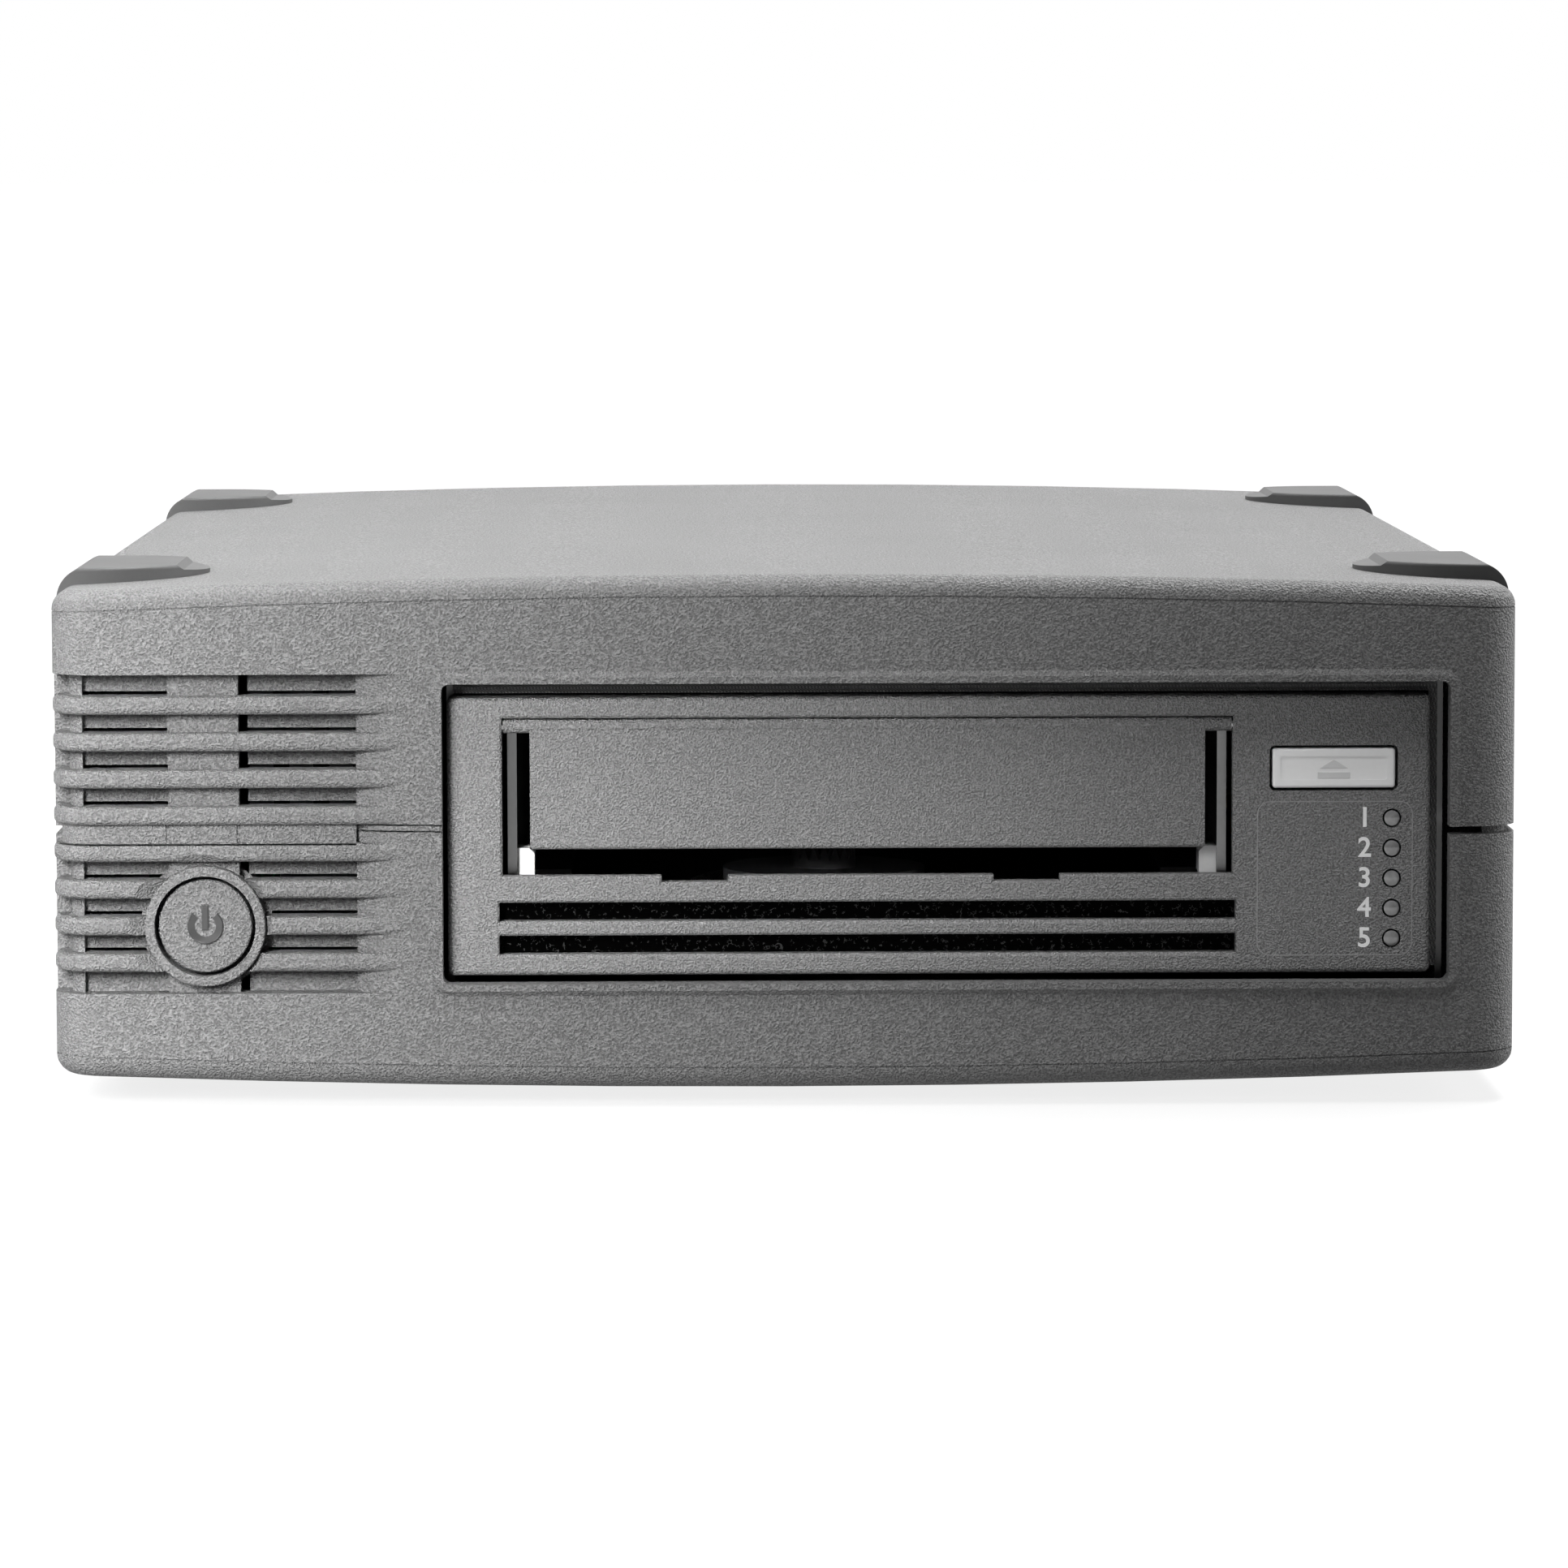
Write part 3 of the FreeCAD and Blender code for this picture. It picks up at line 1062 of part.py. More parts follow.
# ---- drive chassis ----
def drive_base():
    """Cast tray of the drive: floor, side walls and rear wall, with slides for the carriage."""
    body = block(DRIVE_X0, DRIVE_X1, DRIVE_Y0, DRIVE_Y1, DRIVE_Z0, DRIVE_Z1 - COVER_T)
    above = block(DRIVE_X0 + CAST_T, DRIVE_X1 - CAST_T, DRIVE_Y0 - 1, DRIVE_Y1 - CAST_T, DECK_Z, BIG)
    below = block(DRIVE_X0 + CAST_T, DRIVE_X1 - CAST_T, DRIVE_Y0 - 1, DRIVE_Y1 + 1,
                  -BIG, DRIVE_Z0 + CAST_FLOOR_Z)
    body = body.cut([above, below])
    slides = []
    y0 = CARRIAGE_Y0 + SLIDE_SET
    y1 = CARRIAGE_Y0 + CARRIAGE_L + CARRIAGE_TRAVEL
    top = LEDGE_TOP - LEDGE_T - SLIDE_PLAY
    for x0, x1 in ((CARRIAGE_X0 - RAIL_T, CARRIAGE_X0 + SLIDE_W),
                   (CARRIAGE_X1 - SLIDE_W, CARRIAGE_X1 + RAIL_T)):
        slides.append(block(x0, x1, max(y0, DRIVE_Y0), y1, DECK_Z - 1, top))
    body = join(body, *slides)
    cuts = [rod(SCREW_R, p, direction, CAST_T) for p, direction in drive_screw_points()]
    cuts.append(connector_body(0))
    lamp_side = LAMP_X + LAMP_R + 0.3
    levels = lamp_levels()
    cuts.append(block(2 * LAMP_X - lamp_side, lamp_side, DRIVE_Y0 - 1, front_board_y(),
                      levels[-1] - 2, levels[0] + 2))
    return body.cut(cuts)


def drive_screw_points():
    """Side holes of the drive, each with the direction into the drive."""
    points = []
    for inset in DRIVE_SCREW_SETS:
        points.append((V(DRIVE_X0, DRIVE_Y0 + inset, DRIVE_Z0 + DRIVE_SCREW_RISE), V(1, 0, 0)))
        points.append((V(DRIVE_X1, DRIVE_Y0 + inset, DRIVE_Z0 + DRIVE_SCREW_RISE), V(-1, 0, 0)))
    return points


def drive_top_cover():
    return block(DRIVE_X0, DRIVE_X1, DRIVE_Y0, DRIVE_Y1, DRIVE_Z1 - COVER_T, DRIVE_Z1)


def drive_circuit_board():
    inset = DRIVE_BOARD_INSET
    return block(DRIVE_X0 + CAST_T + inset, DRIVE_X1 - CAST_T - inset,
                 DRIVE_Y0 + DRIVE_BOARD_SET, DRIVE_Y1 - 2 * inset,
                 DRIVE_Z0 + CAST_FLOOR_Z - BOARD_T, DRIVE_Z0 + CAST_FLOOR_Z)


def connector_body(grow):
    """Power and data connector that passes through the rear wall of the casting."""
    x0 = DRIVE_X0 + CAST_T + CONNECTOR_INSET
    return block(x0 - grow, x0 + CONNECTOR_W + grow, DRIVE_Y1 - CAST_T - CONNECTOR_D, DRIVE_Y1 + grow,
                 DECK_Z - grow, DECK_Z + CONNECTOR_H + grow)


def drive_connector():
    body = connector_body(0)
    b = body.BoundBox
    wall = CONNECTOR_WALL
    mid = (b.ZMin + b.ZMax) / 2
    mouth = block(b.XMin + wall, b.XMax - wall, b.YMax - CAST_T, b.YMax + 1, b.ZMin + wall, b.ZMax - wall)
    tongue = block(b.XMin + 2 * wall, b.XMax - 2 * wall, b.YMax - CAST_T - 1, b.YMax - 0.5,
                   mid - PORT_TONGUE_T / 2, mid + PORT_TONGUE_T / 2)
    return join(body.cut(mouth), tongue)


# ---- cartridge carriage and loader ----
def cartridge_carriage():
    y0 = CARRIAGE_Y0
    y1 = y0 + CARRIAGE_L
    z0 = LEDGE_TOP - LEDGE_T
    pieces = []
    for side, inner in ((-1, CARRIAGE_X0), (1, CARRIAGE_X1)):
        xs = sorted((inner, inner + side * RAIL_T))
        pieces.append(block(xs[0], xs[1], y0, y1, z0, RAIL_TOP))
        xs = sorted((inner, inner - side * RAIL_HOOK))
        pieces.append(block(xs[0], xs[1], y0, y1, RAIL_TOP - LEDGE_T, RAIL_TOP))
        xs = sorted((inner, inner - side * LEDGE_W))
        pieces.append(block(xs[0], xs[1], y0 + LEDGE_SET, y1, z0, LEDGE_TOP))
    pieces.append(block(CARRIAGE_X0, CARRIAGE_X1, y1 - BRIDGE_L, y1, RAIL_TOP - LEDGE_T, RAIL_TOP))
    return join(*pieces, rack())


def rack():
    """Toothed strip on the right side wall; a gap faces the pinion when the carriage is forward."""
    pitch = math.pi * GEAR_MODULE
    pitch_x = pinion_x() - pitch_radius()
    root_x = pitch_x - TOOTH_ROOT * GEAR_MODULE
    tip_x = pitch_x + TOOTH_TIP * GEAR_MODULE
    wall_x = CARRIAGE_X1 + RAIL_T
    count = int((CARRIAGE_TRAVEL + RACK_SPARE) / pitch)
    centre = FRONT + PINION_Y
    y_end = centre + 2.5 * pitch
    y_start = y_end - (count + 1) * pitch
    back = block(wall_x - TOOTH_BITE / 2, root_x, y_start, y_end + pitch / 2, RACK_Z, RACK_Z + RACK_H)
    half_root = pitch * (TOOTH_SHARE + TOOTH_TAPER) / 2
    half_tip = pitch * (TOOTH_SHARE - TOOTH_TAPER) / 2
    teeth = []
    for i in range(count):
        y = centre + pitch * (2 - i) + pitch / 2
        points = [V(root_x - 0.1, y - half_root, RACK_Z), V(tip_x, y - half_tip, RACK_Z),
                  V(tip_x, y + half_tip, RACK_Z), V(root_x - 0.1, y + half_root, RACK_Z)]
        teeth.append(outline(points).extrude(V(0, 0, RACK_H)))
    return join(back, *teeth)


def pitch_radius():
    return PINION_TEETH * GEAR_MODULE / 2


def pinion_x():
    return CARRIAGE_X1 + RAIL_T + RACK_BACK + TOOTH_ROOT * GEAR_MODULE + pitch_radius()


def loader_pinion():
    """Toothed wheel that drives the rack; one tooth points at the rack when it is at rest."""
    z0 = RACK_Z - 1
    root_r = pitch_radius() - TOOTH_ROOT * GEAR_MODULE
    tip_r = pitch_radius() + TOOTH_TIP * GEAR_MODULE
    pitch = math.pi * GEAR_MODULE
    half_root = pitch * (TOOTH_SHARE + TOOTH_TAPER) / 2
    half_tip = pitch * (TOOTH_SHARE - TOOTH_TAPER) / 2
    centre = V(pinion_x(), FRONT + PINION_Y, z0)
    pieces = [rod(root_r, centre, UP, PINION_H)]
    for i in range(PINION_TEETH):
        points = [V(root_r - TOOTH_BITE, -half_root, 0), V(tip_r, -half_tip, 0), V(tip_r, half_tip, 0),
                  V(root_r - TOOTH_BITE, half_root, 0)]
        tooth = outline(points).extrude(V(0, 0, PINION_H))
        tooth.rotate(V(0, 0, 0), UP, 180 + 360.0 * i / PINION_TEETH)
        tooth.translate(centre)
        pieces.append(tooth)
    return join(*pieces).cut(rod(POST_R + RUN_PLAY, centre, UP, PINION_H))


def gearbox_side():
    return DRIVE_X1 - CAST_T - 0.5


def loader_gearbox():
    x, y = pinion_x(), FRONT + PINION_Y
    top = RACK_Z - 1 - RUN_PLAY * 4
    box = block(x - GEARBOX_SIDE, gearbox_side(), y - GEARBOX_FRONT, y + GEARBOX_REAR, DECK_Z, top)
    return join(box, rod(POST_R, V(x, y, top - 1), UP, PINION_H + 2.5))


def loader_motor():
    x = (pinion_x() - GEARBOX_SIDE + gearbox_side()) / 2
    at = V(x, FRONT + PINION_Y + GEARBOX_REAR, DECK_Z + MOTOR_R + RUN_PLAY)
    return join(rod(MOTOR_R, at, REARWARD, MOTOR_L), rod(MOTOR_CAP_R, at, REARWARD, MOTOR_L + MOTOR_CAP_L))


def carriage_shoes():
    """White guide shoes at the lower corners of the carriage mouth."""
    shoes = []
    z0 = LEDGE_TOP - LEDGE_T + SHOE_RISE
    y0 = CARRIAGE_Y0 + 1
    for side, wall in ((-1, CARRIAGE_X0), (1, CARRIAGE_X1)):
        inner = wall - side * SHOE_W
        section = outline([V(wall, y0, z0), V(inner, y0, z0), V(inner, y0, z0 + SHOE_H - SHOE_BEVEL),
                           V(inner + side * SHOE_BEVEL, y0, z0 + SHOE_H), V(wall, y0, z0 + SHOE_H)])
        shoes.append(section.extrude(V(0, SHOE_L, 0)))
    return Part.makeCompound(shoes)


# ---- reels, rollers and head ----
def reel_motor_stator():
    at = V(HUB_X, FRONT + HUB_Y, DECK_Z)
    return join(rod(STATOR_R, at, UP, STATOR_T), rod(POST_R, at, UP, HUB_TOP - DECK_Z))


def reel_motor_hub():
    """Rotor with a toothed crown that grips the hub of a cartridge's reel."""
    z0 = DECK_Z + STATOR_T + ROTOR_GAP
    at = V(HUB_X, FRONT + HUB_Y, z0)
    disc = rod(HUB_R, at, UP, HUB_TOP - z0)
    crown = rod(CROWN_OUT_R, at, UP, CROWN_TOP - z0)
    hub = join(disc, crown)
    cuts = [rod(CROWN_IN_R, V(at.x, at.y, HUB_TOP), UP, BIG), rod(POST_R + RUN_PLAY, at, UP, BIG)]
    half_pitch = math.tan(math.pi / CROWN_TEETH)
    root = HUB_TOP + CROWN_RING
    for i in range(CROWN_TEETH):
        sections = []
        for radius in (CROWN_IN_R - 1, CROWN_OUT_R + 1):
            w = radius * half_pitch
            corners = [V(radius, 0, root), V(radius, w, CROWN_TOP), V(radius, w, CROWN_TOP + 1),
                       V(radius, -w, CROWN_TOP + 1), V(radius, -w, CROWN_TOP)]
            sections.append(Part.makePolygon(corners + [corners[0]]))
        notch = Part.makeLoft(sections, True, True)
        notch.rotate(V(0, 0, 0), UP, 360.0 * i / CROWN_TEETH)
        notch.translate(V(at.x, at.y, 0))
        cuts.append(notch)
    return hub.cut(cuts)


def reel_height():
    return 2 * REEL_FLANGE_T + REEL_TAPE_H


def takeup_motor():
    at = V(REEL_X, REEL_Y, DECK_Z)
    height = STATOR_T + REEL_LIFT + reel_height() + 1.0
    return join(rod(STATOR_R, at, UP, STATOR_T), rod(2 * POST_R, at, UP, height))


def takeup_reel():
    z0 = DECK_Z + STATOR_T + REEL_LIFT
    at = V(REEL_X, REEL_Y, z0)
    upper = at + V(0, 0, REEL_FLANGE_T + REEL_TAPE_H)
    reel = join(rod(REEL_R, at, UP, REEL_FLANGE_T), rod(REEL_HUB_R, at, UP, reel_height()),
                rod(REEL_R, upper, UP, REEL_FLANGE_T))
    cuts = [rod(2 * POST_R + RUN_PLAY, at, UP, BIG)]
    for i in range(REEL_WINDOWS):
        turn = 2 * math.pi * i / REEL_WINDOWS
        at = V(REEL_X + REEL_WINDOW_AT * math.cos(turn), REEL_Y + REEL_WINDOW_AT * math.sin(turn), z0 - 1)
        cuts.append(rod(REEL_WINDOW_R, at, UP, BIG))
    return reel.cut(cuts)


def roller_posts():
    posts = [rod(POST_R, V(x, y, DECK_Z), UP, STATOR_T + REEL_LIFT + reel_height() + 2) for x, y in ROLLERS]
    feet = [rod(ROLLER_FOOT_R, V(x, y, DECK_Z), UP, STATOR_T) for x, y in ROLLERS]
    return Part.makeCompound([join(p, f) for p, f in zip(posts, feet)])


def guide_roller(x, y):
    z0 = DECK_Z + STATOR_T + ROTOR_GAP
    at = V(x, y, z0)
    height = reel_height() + REEL_LIFT
    body = join(rod(ROLLER_R, at, UP, height), rod(ROLLER_FLANGE_R, at, UP, ROLLER_FLANGE_T),
                rod(ROLLER_FLANGE_R, at + V(0, 0, height - ROLLER_FLANGE_T), UP, ROLLER_FLANGE_T))
    return body.cut(rod(POST_R + RUN_PLAY, at, UP, height))


def head_rods():
    return [V(HEAD_X, HEAD_Y + s * HEAD_ROD_PITCH / 2, DECK_Z) for s in (-1, 1)]


def head_frame():
    """Fixed frame of the head actuator: back plate, top and bottom bridges and two guide rods."""
    t = HEAD_PLATE_T
    half = HEAD_ROD_PITCH / 2 + t
    y0, y1 = HEAD_Y - half, HEAD_Y + half
    x0, x1 = DRIVE_X0 + CAST_T + HEAD_WALL_GAP, HEAD_X + t
    back = block(x0, x0 + t, y0, y1, DECK_Z, HEAD_TOP)
    foot = block(x0, x1, y0, y1, DECK_Z, DECK_Z + HEAD_BRIDGE_T)
    top = block(x0, x1, y0, y1, HEAD_TOP - HEAD_BRIDGE_T, HEAD_TOP)
    rods = [rod(HEAD_ROD_R, p, UP, HEAD_TOP - DECK_Z - 1) for p in head_rods()]
    return join(back, foot, top, *rods)


def head_carriage():
    middle = (DECK_Z + HEAD_TOP) / 2
    t = HEAD_SLIDE_T
    half = HEAD_ROD_PITCH / 2 + t
    body = block(HEAD_X - t, HEAD_X + t, HEAD_Y - half, HEAD_Y + half,
                 middle - HEAD_SLIDE_H / 2, middle + HEAD_SLIDE_H / 2)
    return body.cut([rod(HEAD_ROD_R + RUN_PLAY, p, UP, BIG) for p in head_rods()])


def tape_head():
    w, l, h = HEAD_BLOCK
    z0 = (DECK_Z + HEAD_TOP) / 2 - h / 2
    x0 = HEAD_X + HEAD_SLIDE_T
    body = block(x0, x0 + w, HEAD_Y - l / 2, HEAD_Y + l / 2, z0, z0 + h)
    nose = [e for e in upright_edges(body) if e.BoundBox.XMin > x0 + w - 1e-3]
    return body.makeFillet(HEAD_NOSE_R, nose)


# ---- cage, gasket ----
def drive_cage():
    """Folded sheet-metal cage: top, two side walls and foot flanges screwed to the lower shell."""
    y0 = BEZEL_BACK + CAGE_GAP
    y1 = y0 + CAGE_L
    t = SHEET_T
    top = block(CAGE_X0, CAGE_X1, y0, y1, CAGE_TOP, CAGE_TOP + t)
    left = block(CAGE_X0, CAGE_X0 + t, y0, y1, CAGE_Z, CAGE_TOP)
    right = block(CAGE_X1 - t, CAGE_X1, y0, y1, CAGE_Z, CAGE_TOP)
    left_foot = block(CAGE_X0 - FLANGE_W, CAGE_X0, y0 + FLANGE_SET, y1, CAGE_Z, CAGE_Z + t)
    right_foot = block(CAGE_X1, CAGE_X1 + 2 * BOSS_R - 0.5, y0 + FLANGE_SET, y1, CAGE_Z, CAGE_Z + t)
    cage = join(top, left, right, left_foot, right_foot)
    bumps = []
    cuts = []
    for p, into in drive_screw_points():
        if into.x < 0:
            bumps.append(rod(CAGE_DIMPLE_R, p, V(1, 0, 0), CAGE_X1 - t - DRIVE_X1))
            cuts.append(rod(SCREW_R, p, V(1, 0, 0), 8))
        else:
            cuts.append(rod(SCREW_R, p, V(-1, 0, 0), 8))
    cuts += [rod(SCREW_R, p - V(0, 0, 1), UP, t + 2) for p in cage_boss_points()]
    return join(cage, *bumps).cut(cuts)


def emi_gasket():
    """Conductive fabric strip along the top and the right edge of the cage mouth."""
    y0 = FRONT + GASKET_SET
    x1 = CAGE_X1 - SHEET_T
    top = block(CAGE_X0 + SHEET_T, x1, y0, y0 + GASKET_D, CAGE_TOP - GASKET_T, CAGE_TOP)
    side = block(x1 - GASKET_SIDE_T, x1, y0, y0 + GASKET_D, DRIVE_Z0, CAGE_TOP - GASKET_T)
    return join(top, side)


# ---- power supply ----
def psu_case():
    x0, x1 = PSU_X0, PSU_X0 + PSU_W
    y0, y1 = PSU_Y0, PSU_Y0 + PSU_L
    z0, z1 = PSU_Z0, PSU_Z0 + PSU_H
    t = PSU_T
    case = block(x0, x1, y0, y1, z0, z1).cut(block(x0 + t, x1 - t, y0 + t, y1 - t, z0 + t, z1 - t))
    tabs = [block(x0, x1, y0 - PSU_TAB, y0, z0, z0 + t), block(x0, x1, y1, y1 + PSU_TAB, z0, z0 + t)]
    studs = [rod(PSU_STUD_R, V(x, y, z0), UP, PSU_BOARD_LIFT)
             for x in (x0 + PSU_STUD_X_INSET, x1 - PSU_STUD_X_INSET)
             for y in (y0 + PSU_STUD_Y_INSET, y1 - PSU_STUD_Y_INSET)]
    case = join(case, *tabs, *studs)
    slots = []
    for i in range(PSU_SLOTS):
        x = x0 + (i + 1) * PSU_W / (PSU_SLOTS + 1)
        slots.append(round_ended_slot(PSU_SLOT_W, PSU_H * 0.57, x, y0 - 1, y1 + 1, z0 + PSU_H * 0.6))
    holes = [rod(SCREW_R, p - V(0, 0, 1), UP, 3) for p in psu_boss_points()]
    return case.cut(slots + holes)


def psu_board():
    z0 = PSU_Z0 + PSU_BOARD_LIFT
    dx, dy = PSU_BOARD_X_INSET, PSU_BOARD_Y_INSET
    return block(PSU_X0 + dx, PSU_X0 + PSU_W - dx, PSU_Y0 + dy, PSU_Y0 + PSU_L - dy, z0, z0 + BOARD_T)


def psu_components():
    """Choke, transformer, heat sink and three capacitors on the supply's board."""
    z0 = PSU_Z0 + PSU_BOARD_LIFT + BOARD_T
    pieces = []
    for (share, length, height), middle_x, middle_y in (
            (CHOKE, 0.55, 0.14), (TRANSFORMER, 0.5, 0.48), (HEAT_SINK, 0.14, 0.78)):
        x, y = PSU_X0 + PSU_W * middle_x, PSU_Y0 + PSU_L * middle_y
        half = PSU_W * share / 2
        pieces.append(block(x - half, x + half, y - length / 2, y + length / 2, z0, z0 + height))
    for place in (0.27, 0.67, 0.77):
        pieces.append(rod(CAPACITOR_R * PSU_W, V(PSU_X0 + PSU_W * 0.62, PSU_Y0 + PSU_L * place, z0),
                          UP, CAPACITOR_H))
    return Part.makeCompound(pieces)


# ---- rear panel, fan, inlet, ports ----
def panel_box():
    x = HOUSING_W / 2 - WALL - PANEL_FRAME + PANEL_LAP_SIDE
    z0 = SHELL_BOTTOM + WALL + PANEL_FRAME - PANEL_LAP
    z1 = SHELL_TOP - WALL - PANEL_FRAME + PANEL_LAP
    return -x, x, z0, z1


def panel_screw_points():
    x = HOUSING_W / 2 - WALL - PANEL_FRAME - PANEL_SCREW_SIDE
    levels = (SHELL_BOTTOM + PANEL_SCREW_RISE, SHELL_TOP - PANEL_SCREW_RISE)
    return [V(sx * x, PANEL_Y1, z) for sx in (-1, 1) for z in levels]


def fan_screw_points():
    h = FAN_HOLE_PITCH / 2
    return [V(FAN_X + sx * h, PANEL_Y1, MID_Z + sz * h) for sx in (-1, 1) for sz in (-1, 1)]


def rear_panel():
    x0, x1, z0, z1 = panel_box()
    plate = block(x0, x1, PANEL_Y0, PANEL_Y1, z0, z1)
    cuts = []
    count = int(2 * FAN_BORE_R / GRILLE_PITCH)
    for i in range(count):
        dx = (i - (count - 1) / 2) * GRILLE_PITCH
        height = 2 * math.sqrt((FAN_BORE_R - 1) ** 2 - dx * dx)
        cuts.append(round_ended_slot(GRILLE_SLOT, height, FAN_X + dx, PANEL_Y0 - 1, PANEL_Y1 + 1, MID_Z))
    cuts.append(block(INLET_X - INLET_W / 2, INLET_X + INLET_W / 2, PANEL_Y0 - 1, PANEL_Y1 + 1,
                      INLET_Z - INLET_H / 2, INLET_Z + INLET_H / 2))
    for x in PORT_XS:
        z = PORT_BOARD_Z + BOARD_T
        half = PORT_W / 2 + PORT_PLAY
        cuts.append(block(x - half, x + half, PANEL_Y0 - 1, PANEL_Y1 + 1,
                          z - PORT_PLAY, z + PORT_H + PORT_PLAY))
    cuts += [rod(SCREW_R, p - V(0, 3, 0), REARWARD, 6) for p in panel_screw_points() + fan_screw_points()]
    return plate.cut(cuts)


def fan_frame():
    half = FAN_SIZE / 2
    y1 = PANEL_Y0
    y0 = y1 - FAN_D
    body = block(FAN_X - half, FAN_X + half, y0, y1, MID_Z - half, MID_Z + half)
    body = body.makeFillet(FAN_CORNER_R, edges_along_y(body))
    centre = V(FAN_X, y0 - 1, MID_Z)
    cuts = [rod(FAN_BORE_R, centre, REARWARD, FAN_D + 2)]
    waist_l = FAN_D - 2 * FAN_RIM_L
    cuts.append(tube(FAN_SIZE, FAN_BORE_R + FAN_WALL, V(FAN_X, y0 + FAN_RIM_L, MID_Z), REARWARD, waist_l))
    cuts += [rod(SCREW_R, V(p.x, y0 - 1, p.z), REARWARD, FAN_D + 2) for p in fan_screw_points()]
    body = body.cut(cuts)
    base = rod(FAN_HUB_R, V(FAN_X, y1 - FAN_BASE_T, MID_Z), REARWARD, FAN_BASE_T)
    axle = rod(FAN_SHAFT_R, V(FAN_X, y0 + FAN_AXLE_SET, MID_Z), REARWARD, FAN_D - FAN_AXLE_SET)
    struts = []
    half = FAN_STRUT_W / 2
    for i in range(FAN_STRUTS):
        strut = block(FAN_HUB_R - 1, FAN_BORE_R + 1, y1 - FAN_BASE_T, y1, -half, half)
        strut.rotate(V(0, 0, 0), REARWARD, 360.0 * (i + 0.5) / FAN_STRUTS)
        strut.translate(V(FAN_X, 0, MID_Z))
        struts.append(strut)
    return join(body, base, axle, *struts)


def fan_rotor():
    """Hub cup with pitched blades, each a loft from a steep root to a flatter tip."""
    y0 = PANEL_Y0 - FAN_D + FAN_END_GAPS[0]
    y1 = PANEL_Y0 - FAN_BASE_T - FAN_END_GAPS[1]
    hub = rod(FAN_HUB_R, V(FAN_X, y0, MID_Z), REARWARD, y1 - y0)
    hub = hub.makeFillet(FAN_HUB_EDGE_R, edges_at_y(hub, y0))
    tip_r = FAN_BORE_R - FAN_TIP_GAP
    blades = []
    for i in range(FAN_BLADES):
        sections = []
        for radius, (lean, chord) in ((FAN_HUB_R - 1, FAN_ROOT), (tip_r - FAN_BLADE_T / 2, FAN_TIP)):
            c, s = math.cos(math.radians(lean)), math.sin(math.radians(lean))
            half_c, half_t = chord / 2, FAN_BLADE_T / 2
            corners = []
            for u, w in ((-half_c, -half_t), (half_c, -half_t), (half_c, half_t), (-half_c, half_t)):
                corners.append(V(u * s - w * c, (y0 + y1) / 2 + u * c + w * s, radius))
            sections.append(Part.makePolygon(corners + [corners[0]]))
        blade = Part.makeLoft(sections, True, True)
        blade.rotate(V(0, 0, 0), REARWARD, 360.0 * i / FAN_BLADES)
        blade.translate(V(FAN_X, 0, MID_Z))
        blades.append(blade)
    rotor = join(hub, *blades)
    sweep = rod(tip_r, V(FAN_X, y0, MID_Z), REARWARD, y1 - y0)
    bore_y = PANEL_Y0 - FAN_D + FAN_AXLE_SET - 0.5
    return rotor.common(sweep).cut(rod(FAN_SHAFT_R + RUN_PLAY, V(FAN_X, bore_y, MID_Z), REARWARD, FAN_D))


def power_inlet():
    """Appliance inlet: flanged body with a bevelled cavity round three pins."""
    y1 = PANEL_Y1 + INLET_FLANGE
    flange = block(INLET_X - INLET_W / 2 - INLET_LAP, INLET_X + INLET_W / 2 + INLET_LAP, PANEL_Y1, y1,
                   INLET_Z - INLET_H / 2 - INLET_LAP, INLET_Z + INLET_H / 2 + INLET_LAP)
    body = block(INLET_X - INLET_W / 2, INLET_X + INLET_W / 2, y1 - INLET_DEPTH, PANEL_Y1,
                 INLET_Z - INLET_H / 2, INLET_Z + INLET_H / 2)
    w, h, bevel = INLET_CAVITY_W / 2, INLET_CAVITY_H / 2, INLET_BEVEL
    y = y1 - INLET_CAVITY_D
    points = [V(-w, y, -h), V(w, y, -h), V(w, y, h - bevel), V(w - bevel, y, h), V(bevel - w, y, h),
              V(-w, y, h - bevel)]
    cavity = outline([p + V(INLET_X, 0, INLET_Z) for p in points]).extrude(V(0, INLET_CAVITY_D + 1, 0))
    return join(flange, body).cut([cavity] + inlet_blades())


def inlet_blades():
    y0 = PANEL_Y1 + INLET_FLANGE - INLET_CAVITY_D - 2
    places = ((-BLADE_PITCH / 2, -BLADE_RISE / 2), (BLADE_PITCH / 2, -BLADE_RISE / 2), (0, BLADE_RISE))
    blades = []
    for dx, dz in places:
        x, z = INLET_X + dx, INLET_Z + dz
        blades.append(block(x - BLADE_W / 2, x + BLADE_W / 2, y0, y0 + 2 + BLADE_L, z - BLADE_H / 2,
                            z + BLADE_H / 2))
    return blades


def data_ports():
    """External data connectors: metal cages with an open mouth and a contact tongue."""
    ports = []
    z0 = PORT_BOARD_Z + BOARD_T
    y1 = PANEL_Y1 + PORT_PROUD
    y0 = PORT_BOARD_Y0 + PORT_SET
    for x in PORT_XS:
        cage = block(x - PORT_W / 2, x + PORT_W / 2, y0, y1, z0, z0 + PORT_H)
        mouth = block(x - PORT_W / 2 + PORT_T, x + PORT_W / 2 - PORT_T, y0 + PORT_BACK_T, y1 + 1,
                      z0 + PORT_T, z0 + PORT_H - PORT_T)
        half, middle = PORT_W / 2 - PORT_TONGUE_INSET, z0 + PORT_H / 2
        tongue = block(x - half, x + half, y0 + PORT_BACK_T - 1, y1 - PORT_TONGUE_SET,
                       middle - PORT_TONGUE_T / 2, middle + PORT_TONGUE_T / 2)
        ports.append(join(cage.cut(mouth), tongue))
    return Part.makeCompound(ports)


